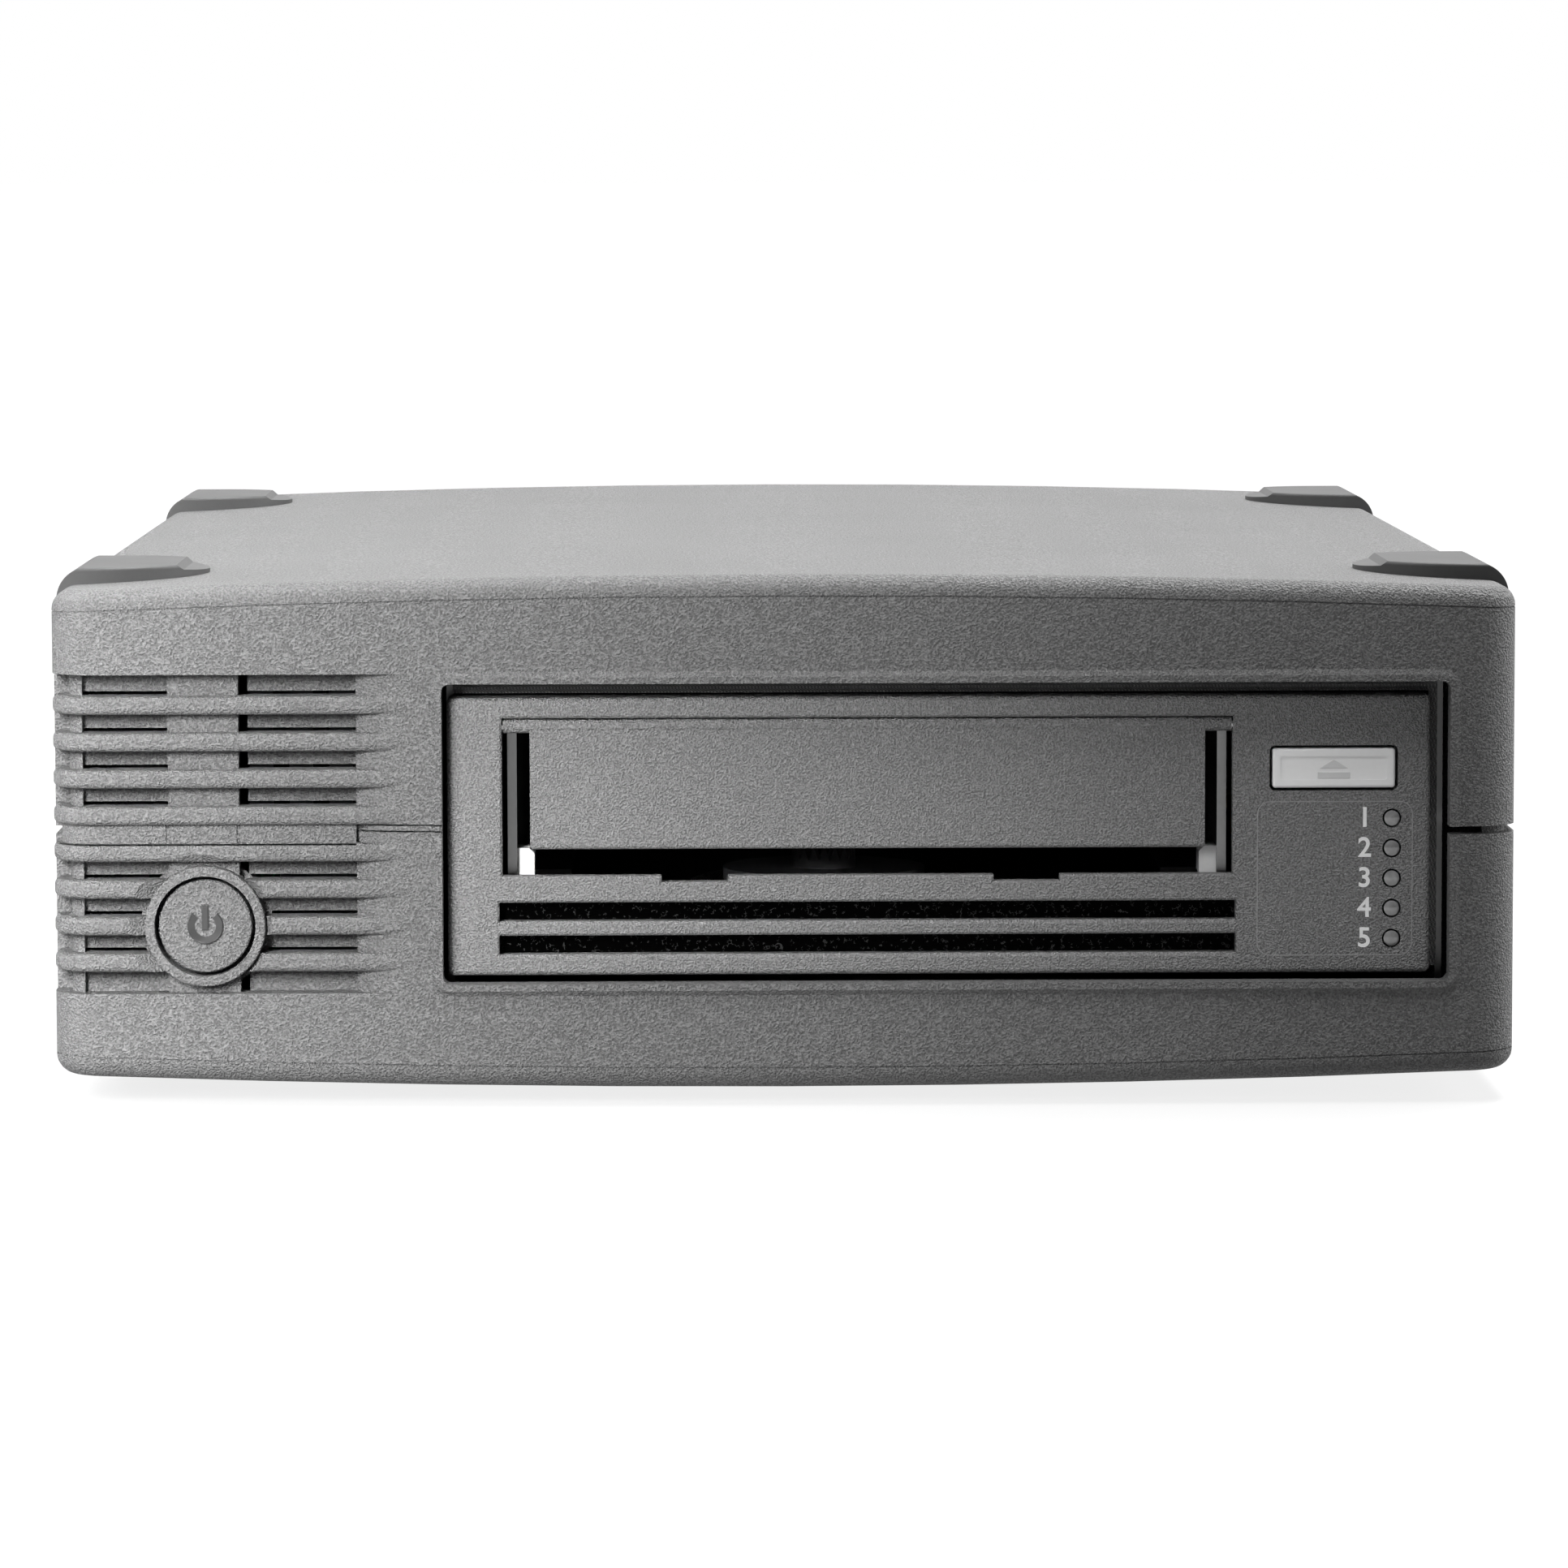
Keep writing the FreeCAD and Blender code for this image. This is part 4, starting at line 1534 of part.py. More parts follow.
def port_board():
    board = block(PORT_BOARD_X0, PORT_BOARD_X1, PORT_BOARD_Y0, PORT_BOARD_Y1,
                  PORT_BOARD_Z, PORT_BOARD_Z + BOARD_T)
    return board.cut([rod(SCREW_R, p - V(0, 0, 1), UP, 4) for p in port_board_points()])


# ---- fasteners ----
def shell_screws():
    seats = [V(p.x, p.y, SHELL_SCREW_Z) for p in shell_boss_points()]
    return Part.makeCompound([screw(seat, UP, SHELL_SCREW_L) for seat in seats])


def drive_screws():
    screws = []
    for p, into in drive_screw_points():
        outer = CAGE_X0 if into.x > 0 else CAGE_X1
        seat = V(outer, p.y, p.z)
        screws.append(screw(seat, into, abs(outer - p.x) + CAST_T - 0.5))
    return Part.makeCompound(screws)


def down_screws(points, lift, length):
    return Part.makeCompound([screw(p + V(0, 0, lift), V(0, 0, -1), length) for p in points])


def panel_screws(points, length):
    return Part.makeCompound([screw(p, V(0, -1, 0), length) for p in points])


def main():
    os.makedirs("parts", exist_ok=True)
    body = housing_solid()
    save("upper_shell", upper_shell(body))
    save("lower_shell", lower_shell(body))
    ends = ("front", "rear")
    for side, side_name in ((-1, "left"), (1, "right")):
        for end, inset in zip(ends, PAD_INSETS):
            save("top_pad_" + end + "_" + side_name, top_pad(side, inset))
        for end, inset in zip(ends, FOOT_INSETS):
            save("foot_" + end + "_" + side_name, foot(V(side * FOOT_X, FRONT + inset, 0)))
    save("vent_baffle", vent_baffle(body))
    save("power_button", power_button())
    save("power_switch_plunger", power_switch_plunger())
    save("power_board", power_board())
    save("drive_bezel", drive_bezel())
    save("cartridge_door", cartridge_door())
    save("door_hinge_pin", door_hinge_pin())
    save("eject_button", eject_button())
    save("status_lamps", status_lamps())
    save("vent_filter", vent_filter())
    save("front_board", front_board())
    save("drive_base", drive_base())
    save("drive_top_cover", drive_top_cover())
    save("drive_circuit_board", drive_circuit_board())
    save("drive_connector", drive_connector())
    save("cartridge_carriage", cartridge_carriage())
    save("carriage_shoes", carriage_shoes())
    save("loader_pinion", loader_pinion())
    save("loader_gearbox", loader_gearbox())
    save("loader_motor", loader_motor())
    save("reel_motor_stator", reel_motor_stator())
    save("reel_motor_hub", reel_motor_hub())
    save("takeup_motor", takeup_motor())
    save("takeup_reel", takeup_reel())
    save("roller_posts", roller_posts())
    for number, (x, y) in enumerate(ROLLERS, 1):
        save("guide_roller_%d" % number, guide_roller(x, y))
    save("head_frame", head_frame())
    save("head_carriage", head_carriage())
    save("tape_head", tape_head())
    save("drive_cage", drive_cage())
    save("emi_gasket", emi_gasket())
    save("psu_case", psu_case())
    save("psu_board", psu_board())
    save("psu_components", psu_components())
    save("rear_panel", rear_panel())
    save("fan_frame", fan_frame())
    save("fan_rotor", fan_rotor())
    save("power_inlet", power_inlet())
    save("inlet_blades", Part.makeCompound(inlet_blades()))
    save("data_ports", data_ports())
    save("port_board", port_board())
    save("shell_screws", shell_screws())
    save("drive_screws", drive_screws())
    save("cage_screws", down_screws(cage_boss_points(), SHEET_T, SHORT_SCREW_L))
    save("psu_screws", down_screws(psu_boss_points(), PSU_T, SHORT_SCREW_L))
    save("port_board_screws", down_screws(port_board_points(), BOARD_T, SHORT_SCREW_L))
    save("rear_screws", panel_screws(fan_screw_points() + panel_screw_points(), REAR_SCREW_L))


main()
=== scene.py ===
"""Looks of the desktop data tape drive: finishes, printed and moulded signs, floor, light, camera.

Everything is in metres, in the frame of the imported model: X to the right seen from the front,
Y to the back, Z up, with the feet on Z = 0.
"""

import math

import bmesh
import bpy
from mathutils import Matrix, Vector

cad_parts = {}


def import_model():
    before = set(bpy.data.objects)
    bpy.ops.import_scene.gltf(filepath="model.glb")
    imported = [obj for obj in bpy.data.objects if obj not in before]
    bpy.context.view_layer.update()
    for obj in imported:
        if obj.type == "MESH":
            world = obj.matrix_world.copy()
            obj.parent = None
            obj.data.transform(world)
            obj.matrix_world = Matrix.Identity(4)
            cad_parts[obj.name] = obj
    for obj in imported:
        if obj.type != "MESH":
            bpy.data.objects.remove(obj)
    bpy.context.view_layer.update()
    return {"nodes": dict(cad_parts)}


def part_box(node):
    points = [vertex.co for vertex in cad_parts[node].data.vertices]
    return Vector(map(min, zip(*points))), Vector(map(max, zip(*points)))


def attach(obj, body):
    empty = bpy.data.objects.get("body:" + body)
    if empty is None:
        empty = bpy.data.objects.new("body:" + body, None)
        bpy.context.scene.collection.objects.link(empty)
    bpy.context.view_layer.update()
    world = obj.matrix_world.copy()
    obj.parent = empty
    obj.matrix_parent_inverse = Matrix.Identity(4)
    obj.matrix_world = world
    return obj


MM = 0.001
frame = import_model()
nodes = frame["nodes"]

# ---- sizes of the printed and moulded signs ----
INK_T = 0.02 * MM              # thickness of printed ink
ROOT = 0.03 * MM               # how deep a moulded sign is rooted in what carries it
LAMP_COUNT = 5
NUMERAL_H = 3.0 * MM
NUMERAL_FONT = 1.4             # font size over a numeral's height
NUMERAL_BOLD = 0.07 * MM       # how much its strokes are thickened
NUMERAL_GAP = 1.9 * MM         # from a numeral's right end to its lamp
OUTLINE_W = 0.16 * MM
PANEL_LEFT = 20.34 * MM        # edges of the lamp panel from the lamps' line
PANEL_RIGHT = 3.16 * MM
PANEL_UP = 2.6 * MM            # from the end lamps
PANEL_R = 2.0 * MM
EJECT_HALF = 2.2 * MM          # half width of the eject triangle
EJECT_FOOT = -0.06 * MM        # its foot and its tip, from the key's middle
EJECT_TIP = 1.28 * MM
EJECT_BAR_HALF = 2.45 * MM
EJECT_BAR_Z = (-1.59 * MM, -0.6 * MM)
EJECT_RISE = 0.12 * MM         # how far the eject sign stands above the key's dish
EJECT_DISH = 0.2 * MM          # depth of the key's dish
EJECT_BEVEL = 0.1 * MM
POWER_RING_R = 2.1 * MM        # middle of the ring of the power sign
POWER_LINE = 1.05 * MM         # width of its ring and bar
POWER_GAP = math.radians(43)   # half of the gap at the ring's top
POWER_RISE = 0.42 * MM
POWER_LIP = 0.02 * MM          # height of the ring at its inner edge
# the ring's crest: offset from its outer edge, and share of the rise
POWER_CREST = ((-0.2 * MM, 0.8), (-0.08 * MM, 1.0), (0.0, 0.9))
POWER_SKIRT = 0.12 * MM        # how far the ring's outer wall spreads to its root
POWER_STEPS = 56
POWER_BAR = (-0.6 * MM, 3.2 * MM)
POWER_BAR_RISE = POWER_RISE * 0.8
POWER_BAR_BEVEL = 0.25 * MM

# ---- grain of the moulded plastic ----
GRAIN_GAIN = 2.6               # contrast of the pebbled noise
GRAIN_PAINTED_SHADING = 0.45          # painted shade in the pits and painted highlight on the tops: how far they leave the plastic's own value
GRAIN_ROUGHNESS = 0.62
GRAIN_SHARE = 0.8              # of the tint; slow drift over the part gives the rest

# ---- light ----
AMBIENT = 0.05                 # world's strength for the light that falls on the object
SWEEP = 0.5                    # half width of the world's turn from dim front to white rear
FLOOR_VALUE = 0.14             # floor's colour for the light that it returns to the object
FLOOR_NEAR = 0.82              # white that it shows near the object, where the shadow falls
FLOOR_RISE = (0.25, 1.6)       # distances from the origin over which that rises to 1
FLOOR_SIZE = 40
FLOOR_PLACE = (0, 12, 0)
KEY_SPREAD = math.radians(43)

# ---- camera ----
CAMERA_PLACE = Vector((-11.6, -1145.45, 142.8)) * MM
CAMERA_PITCH = math.radians(5.342)
CAMERA_YAW = math.radians(0.651)
CAMERA_ROLL = math.radians(0.146)
CAMERA_LENS = 154.9
CAMERA_SENSOR = 36
CAMERA_CLIP = (0.05, 100)


# ---- node helpers ----
def add_node(tree, kind, **values):
    made = tree.nodes.new(kind)
    for key, value in values.items():
        setattr(made, key, value)
    return made


class Shader:
    """A material's node tree, with short calls for the nodes that the finishes use."""

    def __init__(self, name, color, roughness, metallic=0.0):
        self.material = bpy.data.materials.new(name)
        self.material.use_nodes = True
        self.tree = self.material.node_tree
        self.bsdf = self.tree.nodes["Principled BSDF"]
        self.bsdf.inputs["Base Color"].default_value = (*color, 1)
        self.bsdf.inputs["Roughness"].default_value = roughness
        self.bsdf.inputs["Metallic"].default_value = metallic
        self.place = self.node("ShaderNodeTexCoord").outputs["Object"]

    def node(self, kind, **values):
        return add_node(self.tree, kind, **values)

    def link(self, output, target):
        self.tree.links.new(output, target)

    def feed(self, value, target):
        if isinstance(value, bpy.types.NodeSocket):
            self.link(value, target)
        else:
            target.default_value = value

    def math(self, operation, a, b=0.0, clamp=False):
        made = self.node("ShaderNodeMath", operation=operation, use_clamp=clamp)
        self.feed(a, made.inputs[0])
        self.feed(b, made.inputs[1])
        return made.outputs[0]

    def stretched(self, scale):
        made = self.node("ShaderNodeMapping")
        made.inputs["Scale"].default_value = scale
        self.link(self.place, made.inputs["Vector"])
        return made.outputs[0]

    def noise(self, grain, detail=2.0, vector=None):
        """Noise whose spots are about grain metres across."""
        made = self.node("ShaderNodeTexNoise")
        made.inputs["Scale"].default_value = 1 / grain
        made.inputs["Detail"].default_value = detail
        self.link(vector or self.place, made.inputs["Vector"])
        return made.outputs["Fac"]

    def cell_edges(self, grain):
        """Distance to the nearest edge between cells about grain metres across."""
        made = self.node("ShaderNodeTexVoronoi", feature="DISTANCE_TO_EDGE")
        made.inputs["Scale"].default_value = 1 / grain
        self.link(self.place, made.inputs["Vector"])
        return made.outputs["Distance"]

    def crisp(self, value, gain):
        """Noise with more contrast, still within 0..1."""
        wide = self.math("MULTIPLY", self.math("SUBTRACT", value, 0.5), gain)
        return self.math("ADD", wide, 0.5, clamp=True)

    def ramp(self, value, low, high):
        """value moved from 0..1 to low..high, without a clamp outside."""
        return self.math("ADD", self.math("MULTIPLY", value, high - low), low)

    def tint(self, value, dark, light):
        """Base colour that runs from dark to light as value goes from 0 to 1."""
        made = self.node("ShaderNodeMix", data_type="RGBA")
        made.inputs[6].default_value = (*dark, 1)
        made.inputs[7].default_value = (*light, 1)
        self.feed(value, made.inputs[0])
        self.link(made.outputs[2], self.bsdf.inputs["Base Color"])

    def rough(self, value, low, high):
        self.link(self.ramp(value, low, high), self.bsdf.inputs["Roughness"])

    def bump(self, height, depth):
        made = self.node("ShaderNodeBump")
        made.inputs["Distance"].default_value = depth
        made.inputs["Strength"].default_value = 1.0
        self.link(height, made.inputs["Height"])
        self.link(made.outputs["Normal"], self.bsdf.inputs["Normal"])

    def blend(self, a, b, share):
        """a and b added up, a with this share and b with the rest."""
        return self.math("ADD", self.math("MULTIPLY", a, share),
                         self.math("MULTIPLY", b, 1 - share))


def grey(value):
    return (value, value, value)


def textured_plastic(name, value, grain=0.32 * MM, depth=0.24 * MM):
    """Moulded plastic with the fine leathery grain of an etched tool: pits painted a little darker
    and tops lighter, as painted shade and painted highlight.
    """
    s = Shader(name, grey(value), GRAIN_ROUGHNESS)
    pebble = s.crisp(s.noise(grain, detail=1.0), GRAIN_GAIN)
    drift = s.noise(45 * MM, detail=1.0)
    # the tint follows the bump's pebble: painted shade in the pits, painted highlight on the tops
    s.tint(s.blend(pebble, drift, GRAIN_SHARE),
           grey(value * (1 - GRAIN_PAINTED_SHADING)), grey(value * (1 + GRAIN_PAINTED_SHADING)))
    s.rough(pebble, GRAIN_ROUGHNESS + 0.1, GRAIN_ROUGHNESS - 0.08)
    s.bump(pebble, depth)
    return s.material


def smooth_plastic(name, value, roughness, contrast=0.06, shine=0.5):
    """Satin plastic: faint flow marks and a very fine orange peel."""
    s = Shader(name, grey(value), roughness)
    flow = s.noise(18 * MM, detail=2.0)
    peel = s.noise(0.7 * MM, detail=1.0)
    s.tint(s.blend(flow, peel, 0.5), grey(value * (1 - contrast)), grey(value * (1 + contrast)))
    s.rough(flow, roughness - 0.04, roughness + 0.06)
    s.bsdf.inputs["Specular IOR Level"].default_value = shine
    s.bump(peel, 0.01 * MM)
    return s.material


def rubber(name, value):
    s = Shader(name, grey(value), 0.8)
    dust = s.noise(0.6 * MM, detail=3.0)
    s.tint(dust, grey(value * 0.8), grey(value * 1.3))
    s.rough(dust, 0.7, 0.95)
    s.bump(dust, 0.03 * MM)
    return s.material


def plated_sheet(name, value):
    """Zinc plated sheet: soft rolling lines along Y and a blotchy sheen."""
    s = Shader(name, grey(value), 0.38, metallic=1.0)
    rolled = s.noise(0.35 * MM, detail=2.0, vector=s.stretched((1.0, 0.03, 1.0)))
    blotch = s.noise(9 * MM, detail=2.0)
    s.tint(blotch, grey(value * 0.86), grey(value * 1.05))
    s.rough(rolled, 0.28, 0.5)
    s.bump(rolled, 0.006 * MM)
    return s.material


def cast_alloy(name, value):
    s = Shader(name, grey(value), 0.5, metallic=1.0)
    sand = s.noise(0.5 * MM, detail=3.0)
    s.tint(s.noise(7 * MM), grey(value * 0.85), grey(value * 1.05))
    s.rough(sand, 0.42, 0.65)
    s.bump(sand, 0.04 * MM)
    return s.material


def ground_steel(name, value, roughness=0.22):
    s = Shader(name, grey(value), roughness, metallic=1.0)
    lines = s.noise(0.2 * MM, detail=2.0, vector=s.stretched((1.0, 1.0, 0.05)))
    s.tint(lines, grey(value * 0.9), grey(value * 1.05))
    s.rough(lines, roughness - 0.06, roughness + 0.14)
    s.bump(lines, 0.004 * MM)
    return s.material


def brass(name):
    s = Shader(name, (0.62, 0.46, 0.18), 0.3, metallic=1.0)
    dull = s.noise(2.5 * MM, detail=3.0)
    s.tint(dull, (0.5, 0.36, 0.13), (0.68, 0.52, 0.22))
    s.rough(dull, 0.24, 0.45)
    s.bump(dull, 0.004 * MM)
    return s.material


def solder_mask(name):
    """Printed circuit board: dark green lacquer with lighter tracks under it."""
    s = Shader(name, (0.01, 0.07, 0.025), 0.3)
    tracks = s.math("LESS_THAN", s.cell_edges(1.8 * MM), 0.09)
    s.tint(tracks, (0.006, 0.045, 0.016), (0.02, 0.11, 0.04))
    s.bump(tracks, 0.02 * MM)
    s.rough(s.noise(4 * MM), 0.24, 0.4)
    return s.material


def powder_coat(name, value):
    s = Shader(name, grey(value), 0.5)
    peel = s.noise(0.7 * MM, detail=2.0)
    s.tint(peel, grey(value * 0.88), grey(value * 1.12))
    s.rough(peel, 0.4, 0.6)
    s.bump(peel, 0.04 * MM)
    return s.material


def woven_gasket(name, value):
    """Woven conductive cloth over foam: herringbone of fine bright threads."""
    s = Shader(name, grey(value), 0.5, metallic=0.3)
    place = s.node("ShaderNodeSeparateXYZ")
    s.link(s.place, place.inputs[0])
    across = s.math("ADD", place.outputs["X"], place.outputs["Z"])
    rows = s.math("PINGPONG", s.math("ADD", place.outputs["Z"], place.outputs["Y"]), 0.35 * MM)
    turns = s.math("MULTIPLY", s.math("ADD", across, rows), 2 * math.pi / (0.5 * MM))
    slant = s.math("SINE", turns)
    thread = s.ramp(slant, 0.5, 1.0)
    s.tint(thread, grey(value * 0.25), grey(value * 1.3))
    s.rough(thread, 0.4, 0.7)
    s.bump(thread, 0.06 * MM)
    return s.material


def clear_lamp(name):
    """Smoked clear domes: dark glossy plastic with a cloudier core."""
    s = Shader(name, grey(0.1), 0.16)
    cloud = s.noise(1.1 * MM, detail=1.0)
    s.tint(cloud, grey(0.12), grey(0.34))
    s.rough(cloud, 0.1, 0.22)
    s.bsdf.inputs["Coat Weight"].default_value = 1.0
    s.bsdf.inputs["Coat Roughness"].default_value = 0.08
    s.bump(s.noise(0.8 * MM), 0.01 * MM)
    return s.material


def open_foam(name, value):
    """Open-cell foam: black pores, with a painted highlight on a thin strut here and there."""
    s = Shader(name, grey(value), 0.9)
    strut = s.math("LESS_THAN", s.cell_edges(0.5 * MM), 0.07)
    # painted highlight: a few struts are tinted far lighter, as if they caught the light
    lit = s.math("MULTIPLY", strut, s.math("GREATER_THAN", s.noise(0.8 * MM), 0.58))
    s.tint(lit, grey(value * 0.3), grey(value * 16))
    s.bsdf.inputs["Specular IOR Level"].default_value = 0.05
    s.bump(lit, 0.1 * MM)
    return s.material


def printed_ink(name, value):
    s = Shader(name, grey(value), 0.5)
    s.tint(s.noise(0.3 * MM), grey(value * 0.93), grey(value))
    return s.material


FINISHES = {
    "housing_plastic": textured_plastic("housing_grain", 0.125),
    "bezel_plastic": textured_plastic("bezel_grain", 0.2, grain=0.3 * MM),
    "pad_plastic": smooth_plastic("pad_satin", 0.045, 0.5, contrast=0.15, shine=0.3),
    "rubber": rubber("foot_rubber", 0.02),
    "dark_plastic": textured_plastic("dark_grain", 0.02, depth=0.03 * MM),
    "light_plastic": smooth_plastic("key_satin", 0.88, 0.4, contrast=0.03),
    "white_nylon": smooth_plastic("nylon", 0.62, 0.4),
    "lamp_plastic": clear_lamp("lamp_smoked"),
    "board": solder_mask("board_lacquer"),
    "sheet_steel": plated_sheet("zinc_sheet", 0.22),
    "cast_alloy": cast_alloy("alloy_cast", 0.35),
    "steel": ground_steel("steel_ground", 0.45),
    "screw_steel": ground_steel("screw_bright", 0.38, 0.32),
    "gasket": woven_gasket("gasket_weave", 0.3),
    "foam": open_foam("foam_open", 0.002),
    "brass": brass("brass_plain"),
    "panel_paint": powder_coat("panel_coat", 0.07),
}

# The hub's slot is steel. It has a non-metal finish here, a lighter grey that is painted light,
# because steel came out nearly black in the dark opening, not because the photo shows that it is
# plastic.
OWN_FINISHES = {
    "cartridge_carriage": plated_sheet("dull_sheet", 0.24),
    "reel_motor_hub": smooth_plastic("hub_painted_light", 0.5, 0.5),
}


def dress_nodes():
    """Every node takes the finish of its material slot, or its own where it has one."""
    for name, node in nodes.items():
        for held in node.material_slots:
            held.material = OWN_FINISHES.get(name) or FINISHES[held.material.name.split(".")[0]]


# ---- pieces ----
def finish_piece(name, mesh, body, finish):
    """An object made from a bmesh, with its finish, that rides on a body."""
    bmesh.ops.recalc_face_normals(mesh, faces=mesh.faces)
    data = bpy.data.meshes.new(name)
    mesh.to_mesh(data)
    mesh.free()
    piece = bpy.data.objects.new(name, data)
    bpy.context.collection.objects.link(piece)
    data.materials.append(finish)
    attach(piece, body)


def flat_piece(name, loops, y_front, thickness, body, finish):
    """Thin solid plate in the X-Z plane whose front is at y_front.

    loops is a list of closed outlines of (x, z) points, each filled with one face.
    """
    mesh = bmesh.new()
    for loop in loops:
        face = mesh.faces.new([mesh.verts.new((x, y_front + thickness, z)) for x, z in loop])
        face.normal_update()
        made = bmesh.ops.extrude_face_region(mesh, geom=[face])
        moved = [v for v in made["geom"] if isinstance(v, bmesh.types.BMVert)]
        bmesh.ops.translate(mesh, verts=moved, vec=(0, -thickness, 0))
    finish_piece(name, mesh, body, finish)


def arc(cx, cz, r, start, end, steps=10):
    angles = [start + (end - start) * i / steps for i in range(steps + 1)]
    return [(cx + r * math.cos(a), cz + r * math.sin(a)) for a in angles]


def rounded_outline(x0, x1, z0, z1, r):
    quarter = math.pi / 2
    corners = ((x1 - r, z1 - r), (x0 + r, z1 - r), (x0 + r, z0 + r), (x1 - r, z0 + r))
    points = []
    for turn, (cx, cz) in enumerate(corners):
        points += arc(cx, cz, r, turn * quarter, (turn + 1) * quarter)
    return points


def band(outer, inner):
    """Quads between two outlines that have the same number of points."""
    count = len(outer)
    return [(outer[i], outer[j], inner[j], inner[i])
            for i, j in ((i, (i + 1) % count) for i in range(count))]


def lamp_centres():
    """Centres of the status lamps, from the top one down, as (x, z), and their radius."""
    low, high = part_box("status_lamps")
    x = (low.x + high.x) / 2
    r = (high.x - low.x) / 2
    pitch = (high.z - low.z - 2 * r) / (LAMP_COUNT - 1)
    return [(x, high.z - r - i * pitch) for i in range(LAMP_COUNT)], r


def lamp_numerals(finish):
    """Plain printed numerals, one beside each status lamp."""
    centres, r = lamp_centres()
    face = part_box("drive_bezel")[0].y
    for number, (x, z) in enumerate(centres, start=1):
        words = bpy.data.curves.new(f"numeral_{number}", "FONT")
        words.body = str(number)
        words.size = NUMERAL_H * NUMERAL_FONT
        words.align_x = "RIGHT"
        words.align_y = "CENTER"
        words.extrude = INK_T / 2
        words.offset = NUMERAL_BOLD
        words.materials.append(finish)
        piece = bpy.data.objects.new(f"numeral_{number}", words)
        bpy.context.collection.objects.link(piece)
        piece.matrix_world = (Matrix.Translation((x - r - NUMERAL_GAP, face - INK_T / 2, z))
                              @ Matrix.Rotation(math.pi / 2, 4, "X"))
        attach(piece, "chassis")


def lamp_panel_outline(finish):
    centres, r = lamp_centres()
    x = centres[0][0]
    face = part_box("drive_bezel")[0].y
    sides = (x - PANEL_LEFT, x + PANEL_RIGHT, centres[-1][1] - PANEL_UP, centres[0][1] + PANEL_UP)
    outer = rounded_outline(*sides, PANEL_R)
    inner = rounded_outline(sides[0] + OUTLINE_W, sides[1] - OUTLINE_W,
                            sides[2] + OUTLINE_W, sides[3] - OUTLINE_W, PANEL_R - OUTLINE_W)
    flat_piece("lamp_panel_outline", band(outer, inner), face - INK_T, INK_T, "chassis",
               finish)


def shrunk(loop, by):
    """A closed counter-clockwise convex outline moved inwards by a distance."""
    moved = []
    for i, (x, z) in enumerate(loop):
        (x0, z0), (x1, z1) = loop[i - 1], loop[(i + 1) % len(loop)]
        a, b = Vector((x - x0, z - z0)).normalized(), Vector((x1 - x, z1 - z)).normalized()
        inward = Vector((-a.y, a.x)) + Vector((-b.y, b.x))
        moved.append(Vector((x, z)) + inward * (by / (1 + a.dot(b))))
    return [tuple(point) for point in moved]


def raised_piece(name, rows, body, finish):
    """Closed solid through rows of (x, y, z) points, all of one length.

    The first and the last row are closed with a face.
    """
    mesh = bmesh.new()
    made = [[mesh.verts.new(point) for point in row] for row in rows]
    for low, high in zip(made, made[1:]):
        for i in range(len(low)):
            j = (i + 1) % len(low)
            mesh.faces.new((low[i], low[j], high[j], high[i]))
    mesh.faces.new(made[0])
    mesh.faces.new(made[-1])
    finish_piece(name, mesh, body, finish)


def bevelled_plate(name, loop, y_floor, rise, bevel, body, finish):
    """Plate that stands up from y_floor towards the front, with a bevel round its top."""
    rows = [[(x, y_floor + ROOT, z) for x, z in loop],
            [(x, y_floor - rise + bevel / 2, z) for x, z in loop],
            [(x, y_floor - rise, z) for x, z in shrunk(loop, bevel)]]
    raised_piece(name, rows, body, finish)


def key_middle(node):
    """Middle of a key's box as (x, z), and the y of its front."""
    low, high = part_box(node)
    return (low.x + high.x) / 2, (low.z + high.z) / 2, low.y


def bar_outline(x, z, half, z_ends):
    low, high = z_ends
    return [(x - half, z + low), (x + half, z + low), (x + half, z + high), (x - half, z + high)]


def eject_sign(finish):
    """Triangle over a bar, moulded on the floor of the eject key's dish."""
    x, z, front = key_middle("eject_button")
    triangle = [(x - EJECT_HALF, z + EJECT_FOOT), (x + EJECT_HALF, z + EJECT_FOOT),
                (x, z + EJECT_TIP)]
    bar = bar_outline(x, z, EJECT_BAR_HALF, EJECT_BAR_Z)
    for name, loop in (("eject_triangle", triangle), ("eject_bar", bar)):
        bevelled_plate(name, loop, front + EJECT_DISH, EJECT_RISE, EJECT_BEVEL, "eject_key",
                       finish)


def power_sign(finish):
    """Ring open at the top, leaning in like a dish's wall, and a bar that stands in its gap."""
    x, z, front = key_middle("power_button")
    inner, outer = POWER_RING_R - POWER_LINE / 2, POWER_RING_R + POWER_LINE / 2
    crest = [(outer + out, -POWER_RISE * share) for out, share in POWER_CREST]
    section = [(inner, ROOT), (inner, -POWER_LIP), *crest, (outer + POWER_SKIRT, ROOT)]
    rows = []
    for i in range(POWER_STEPS + 1):
        turn = math.pi / 2 + POWER_GAP + (2 * math.pi - 2 * POWER_GAP) * i / POWER_STEPS
        out_x, out_z = math.cos(turn), math.sin(turn)
        rows.append([(x + r * out_x, front + y, z + r * out_z) for r, y in section])
    raised_piece("power_ring", rows, "power_key", finish)
    bevelled_plate("power_bar", bar_outline(x, z, POWER_LINE / 2, POWER_BAR), front,
                   POWER_BAR_RISE, POWER_BAR_BEVEL, "power_key", finish)


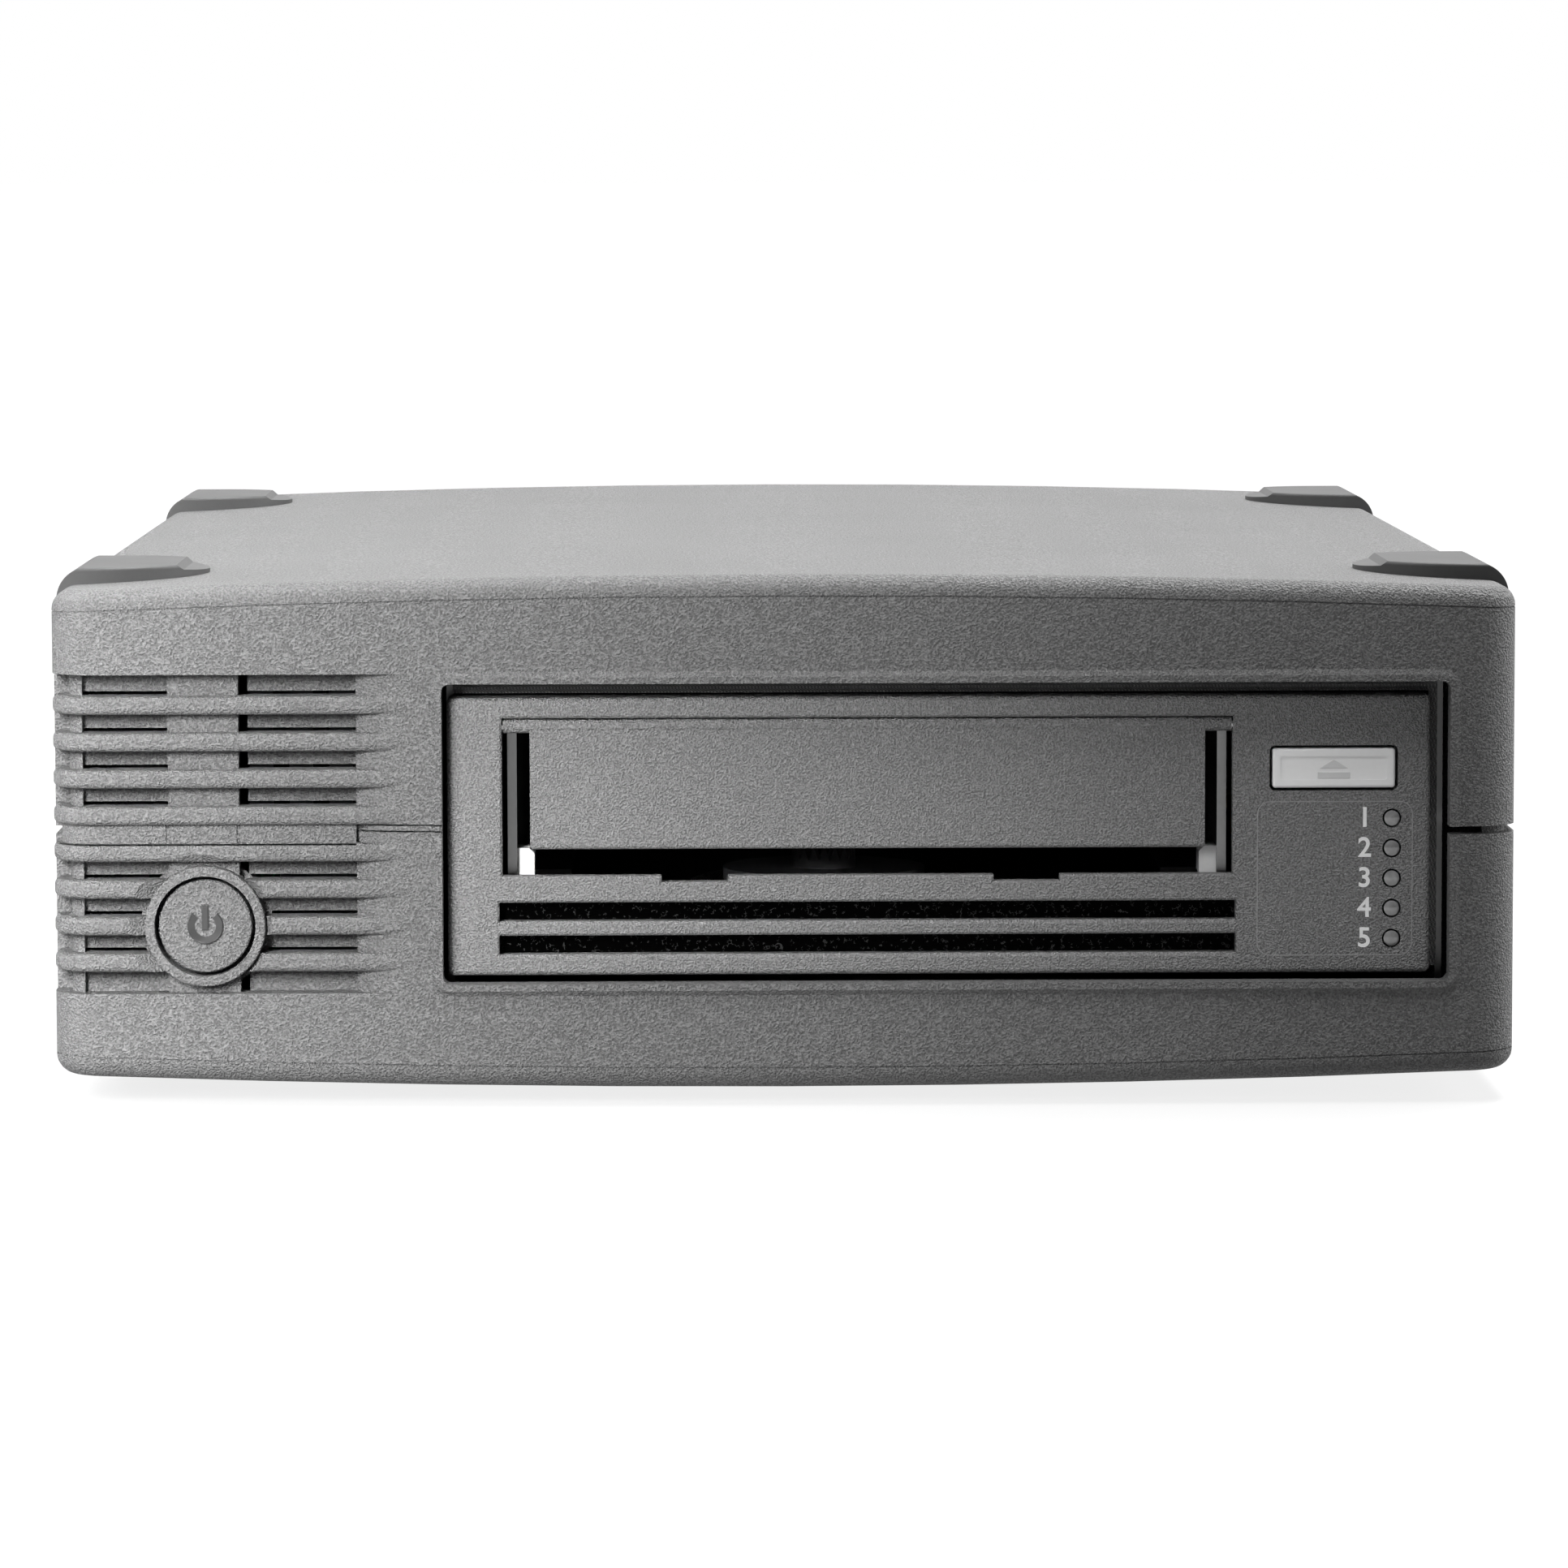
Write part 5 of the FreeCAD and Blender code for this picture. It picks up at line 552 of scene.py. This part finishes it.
# ---- floor, light, camera ----
def floor():
    """Floor that shows white to the camera and in reflections, and still takes the shadow."""
    bpy.ops.mesh.primitive_plane_add(size=FLOOR_SIZE, location=FLOOR_PLACE)
    plane = bpy.context.object
    plane.name = "studio_floor"
    s = Shader("floor_white", grey(FLOOR_VALUE), 0.9)
    s.bsdf.inputs["Specular IOR Level"].default_value = 0.0
    s.bsdf.inputs["Emission Color"].default_value = (1, 1, 1, 1)
    path = s.node("ShaderNodeLightPath")
    seen = s.math("MAXIMUM", path.outputs["Is Camera Ray"], path.outputs["Is Glossy Ray"])
    away = s.node("ShaderNodeVectorMath", operation="LENGTH")
    s.link(s.node("ShaderNodeNewGeometry").outputs["Position"], away.inputs[0])
    glow = s.node("ShaderNodeMapRange")
    for socket, value in (("From Min", FLOOR_RISE[0]), ("From Max", FLOOR_RISE[1]),
                          ("To Min", FLOOR_NEAR), ("To Max", 1.0)):
        glow.inputs[socket].default_value = value
    s.link(away.outputs["Value"], glow.inputs["Value"])
    s.link(s.math("MULTIPLY", seen, glow.outputs["Result"]), s.bsdf.inputs["Emission Strength"])
    plane.data.materials.append(s.material)


def world():
    """White to the camera all round, and to glossy rays only towards the rear.

    Elsewhere, and for the light that falls on the object, it is a dim room.
    """
    scene_world = bpy.data.worlds.new("studio")
    bpy.context.scene.world = scene_world
    scene_world.use_nodes = True
    tree = scene_world.node_tree
    back = tree.nodes["Background"]
    back.inputs["Color"].default_value = (1, 1, 1, 1)

    def math_node(operation, a, b):
        made = add_node(tree, "ShaderNodeMath", operation=operation)
        tree.links.new(a, made.inputs[0])
        tree.links.new(b, made.inputs[1])
        return made.outputs[0]

    path = add_node(tree, "ShaderNodeLightPath")
    place = add_node(tree, "ShaderNodeTexCoord")
    parts = add_node(tree, "ShaderNodeSeparateXYZ")
    tree.links.new(place.outputs["Generated"], parts.inputs[0])
    sweep = add_node(tree, "ShaderNodeMapRange", interpolation_type="SMOOTHSTEP")
    sweep.inputs["From Min"].default_value = -SWEEP
    sweep.inputs["From Max"].default_value = SWEEP
    tree.links.new(parts.outputs["Y"], sweep.inputs["Value"])
    mirrored = math_node("MULTIPLY", path.outputs["Is Glossy Ray"], sweep.outputs["Result"])
    direct = math_node("MAXIMUM", path.outputs["Is Camera Ray"],
                       path.outputs["Is Transmission Ray"])
    strength = add_node(tree, "ShaderNodeMapRange")
    strength.inputs["To Min"].default_value = AMBIENT
    strength.inputs["To Max"].default_value = 1.0
    tree.links.new(math_node("MAXIMUM", direct, mirrored), strength.inputs["Value"])
    tree.links.new(strength.outputs["Result"], back.inputs["Strength"])


def softbox(name, place, aim, size, power, spread=math.pi, gloss=True):
    lamp = bpy.data.lights.new(name, "AREA")
    lamp.shape = "RECTANGLE"
    lamp.size, lamp.size_y = size
    lamp.energy = power
    lamp.spread = spread
    holder = bpy.data.objects.new(name, lamp)
    holder.visible_glossy = gloss
    bpy.context.collection.objects.link(holder)
    holder.location = place
    holder.rotation_euler = (Vector(aim) - Vector(place)).to_track_quat("-Z", "Y").to_euler()


def lights():
    """Each lamp with its place, its aim, its size and its watts; together they give the photo's
    fall from left to right. The key is hidden from glossy rays, because its glare clipped the top
    to white from behind."""
    softbox("key_left", (-0.35, -0.72, 0.28), (-0.27, -0.14, 0.05), (0.32, 0.32), 2.65,
            KEY_SPREAD, gloss=False)
    softbox("graze_left", (-1.0, -0.2, 0.6), (0, -0.1, 0.04), (0.8, 0.6), 6)
    softbox("top", (0.12, 0.4, 1.0), (0, -0.1, 0.06), (0.9, 0.35), 10)
    softbox("top_front", (0.25, -0.18, 1.0), (0.03, -0.14, 0.06), (1.0, 0.25), 13)
    softbox("side_right", (1.1, 0.3, 0.45), (0, 0, 0.04), (0.9, 0.7), 11)
    softbox("rear", (0.0, 1.6, 0.6), (0, 0, 0.04), (0.5, 0.35), 0.8)


def camera():
    data = bpy.data.cameras.new("camera")
    data.lens = CAMERA_LENS
    data.sensor_width = CAMERA_SENSOR
    data.clip_start, data.clip_end = CAMERA_CLIP
    holder = bpy.data.objects.new("camera", data)
    bpy.context.collection.objects.link(holder)
    turn = (Matrix.Rotation(-CAMERA_YAW, 4, "Z")
            @ Matrix.Rotation(math.pi / 2 - CAMERA_PITCH, 4, "X")
            @ Matrix.Rotation(-CAMERA_ROLL, 4, "Z"))
    holder.matrix_world = Matrix.Translation(CAMERA_PLACE) @ turn
    bpy.context.scene.camera = holder


dress_nodes()
white_ink = printed_ink("white_ink", 0.95)
# painted shade: a dark line stands in for the shade along the lamp panel's edge
panel_edge_shade = printed_ink("panel_edge_shade", 0.28)
lamp_numerals(white_ink)
lamp_panel_outline(panel_edge_shade)
eject_sign(smooth_plastic("eject_sign_satin", 0.66, 0.4, contrast=0.03))
# painted shade: the sign's dark grey stands in for the shade in a moulded groove
power_sign(smooth_plastic("power_sign_shade_gloss", 0.035, 0.3))
floor()
world()
lights()
camera()
bpy.context.scene.view_settings.view_transform = "Standard"
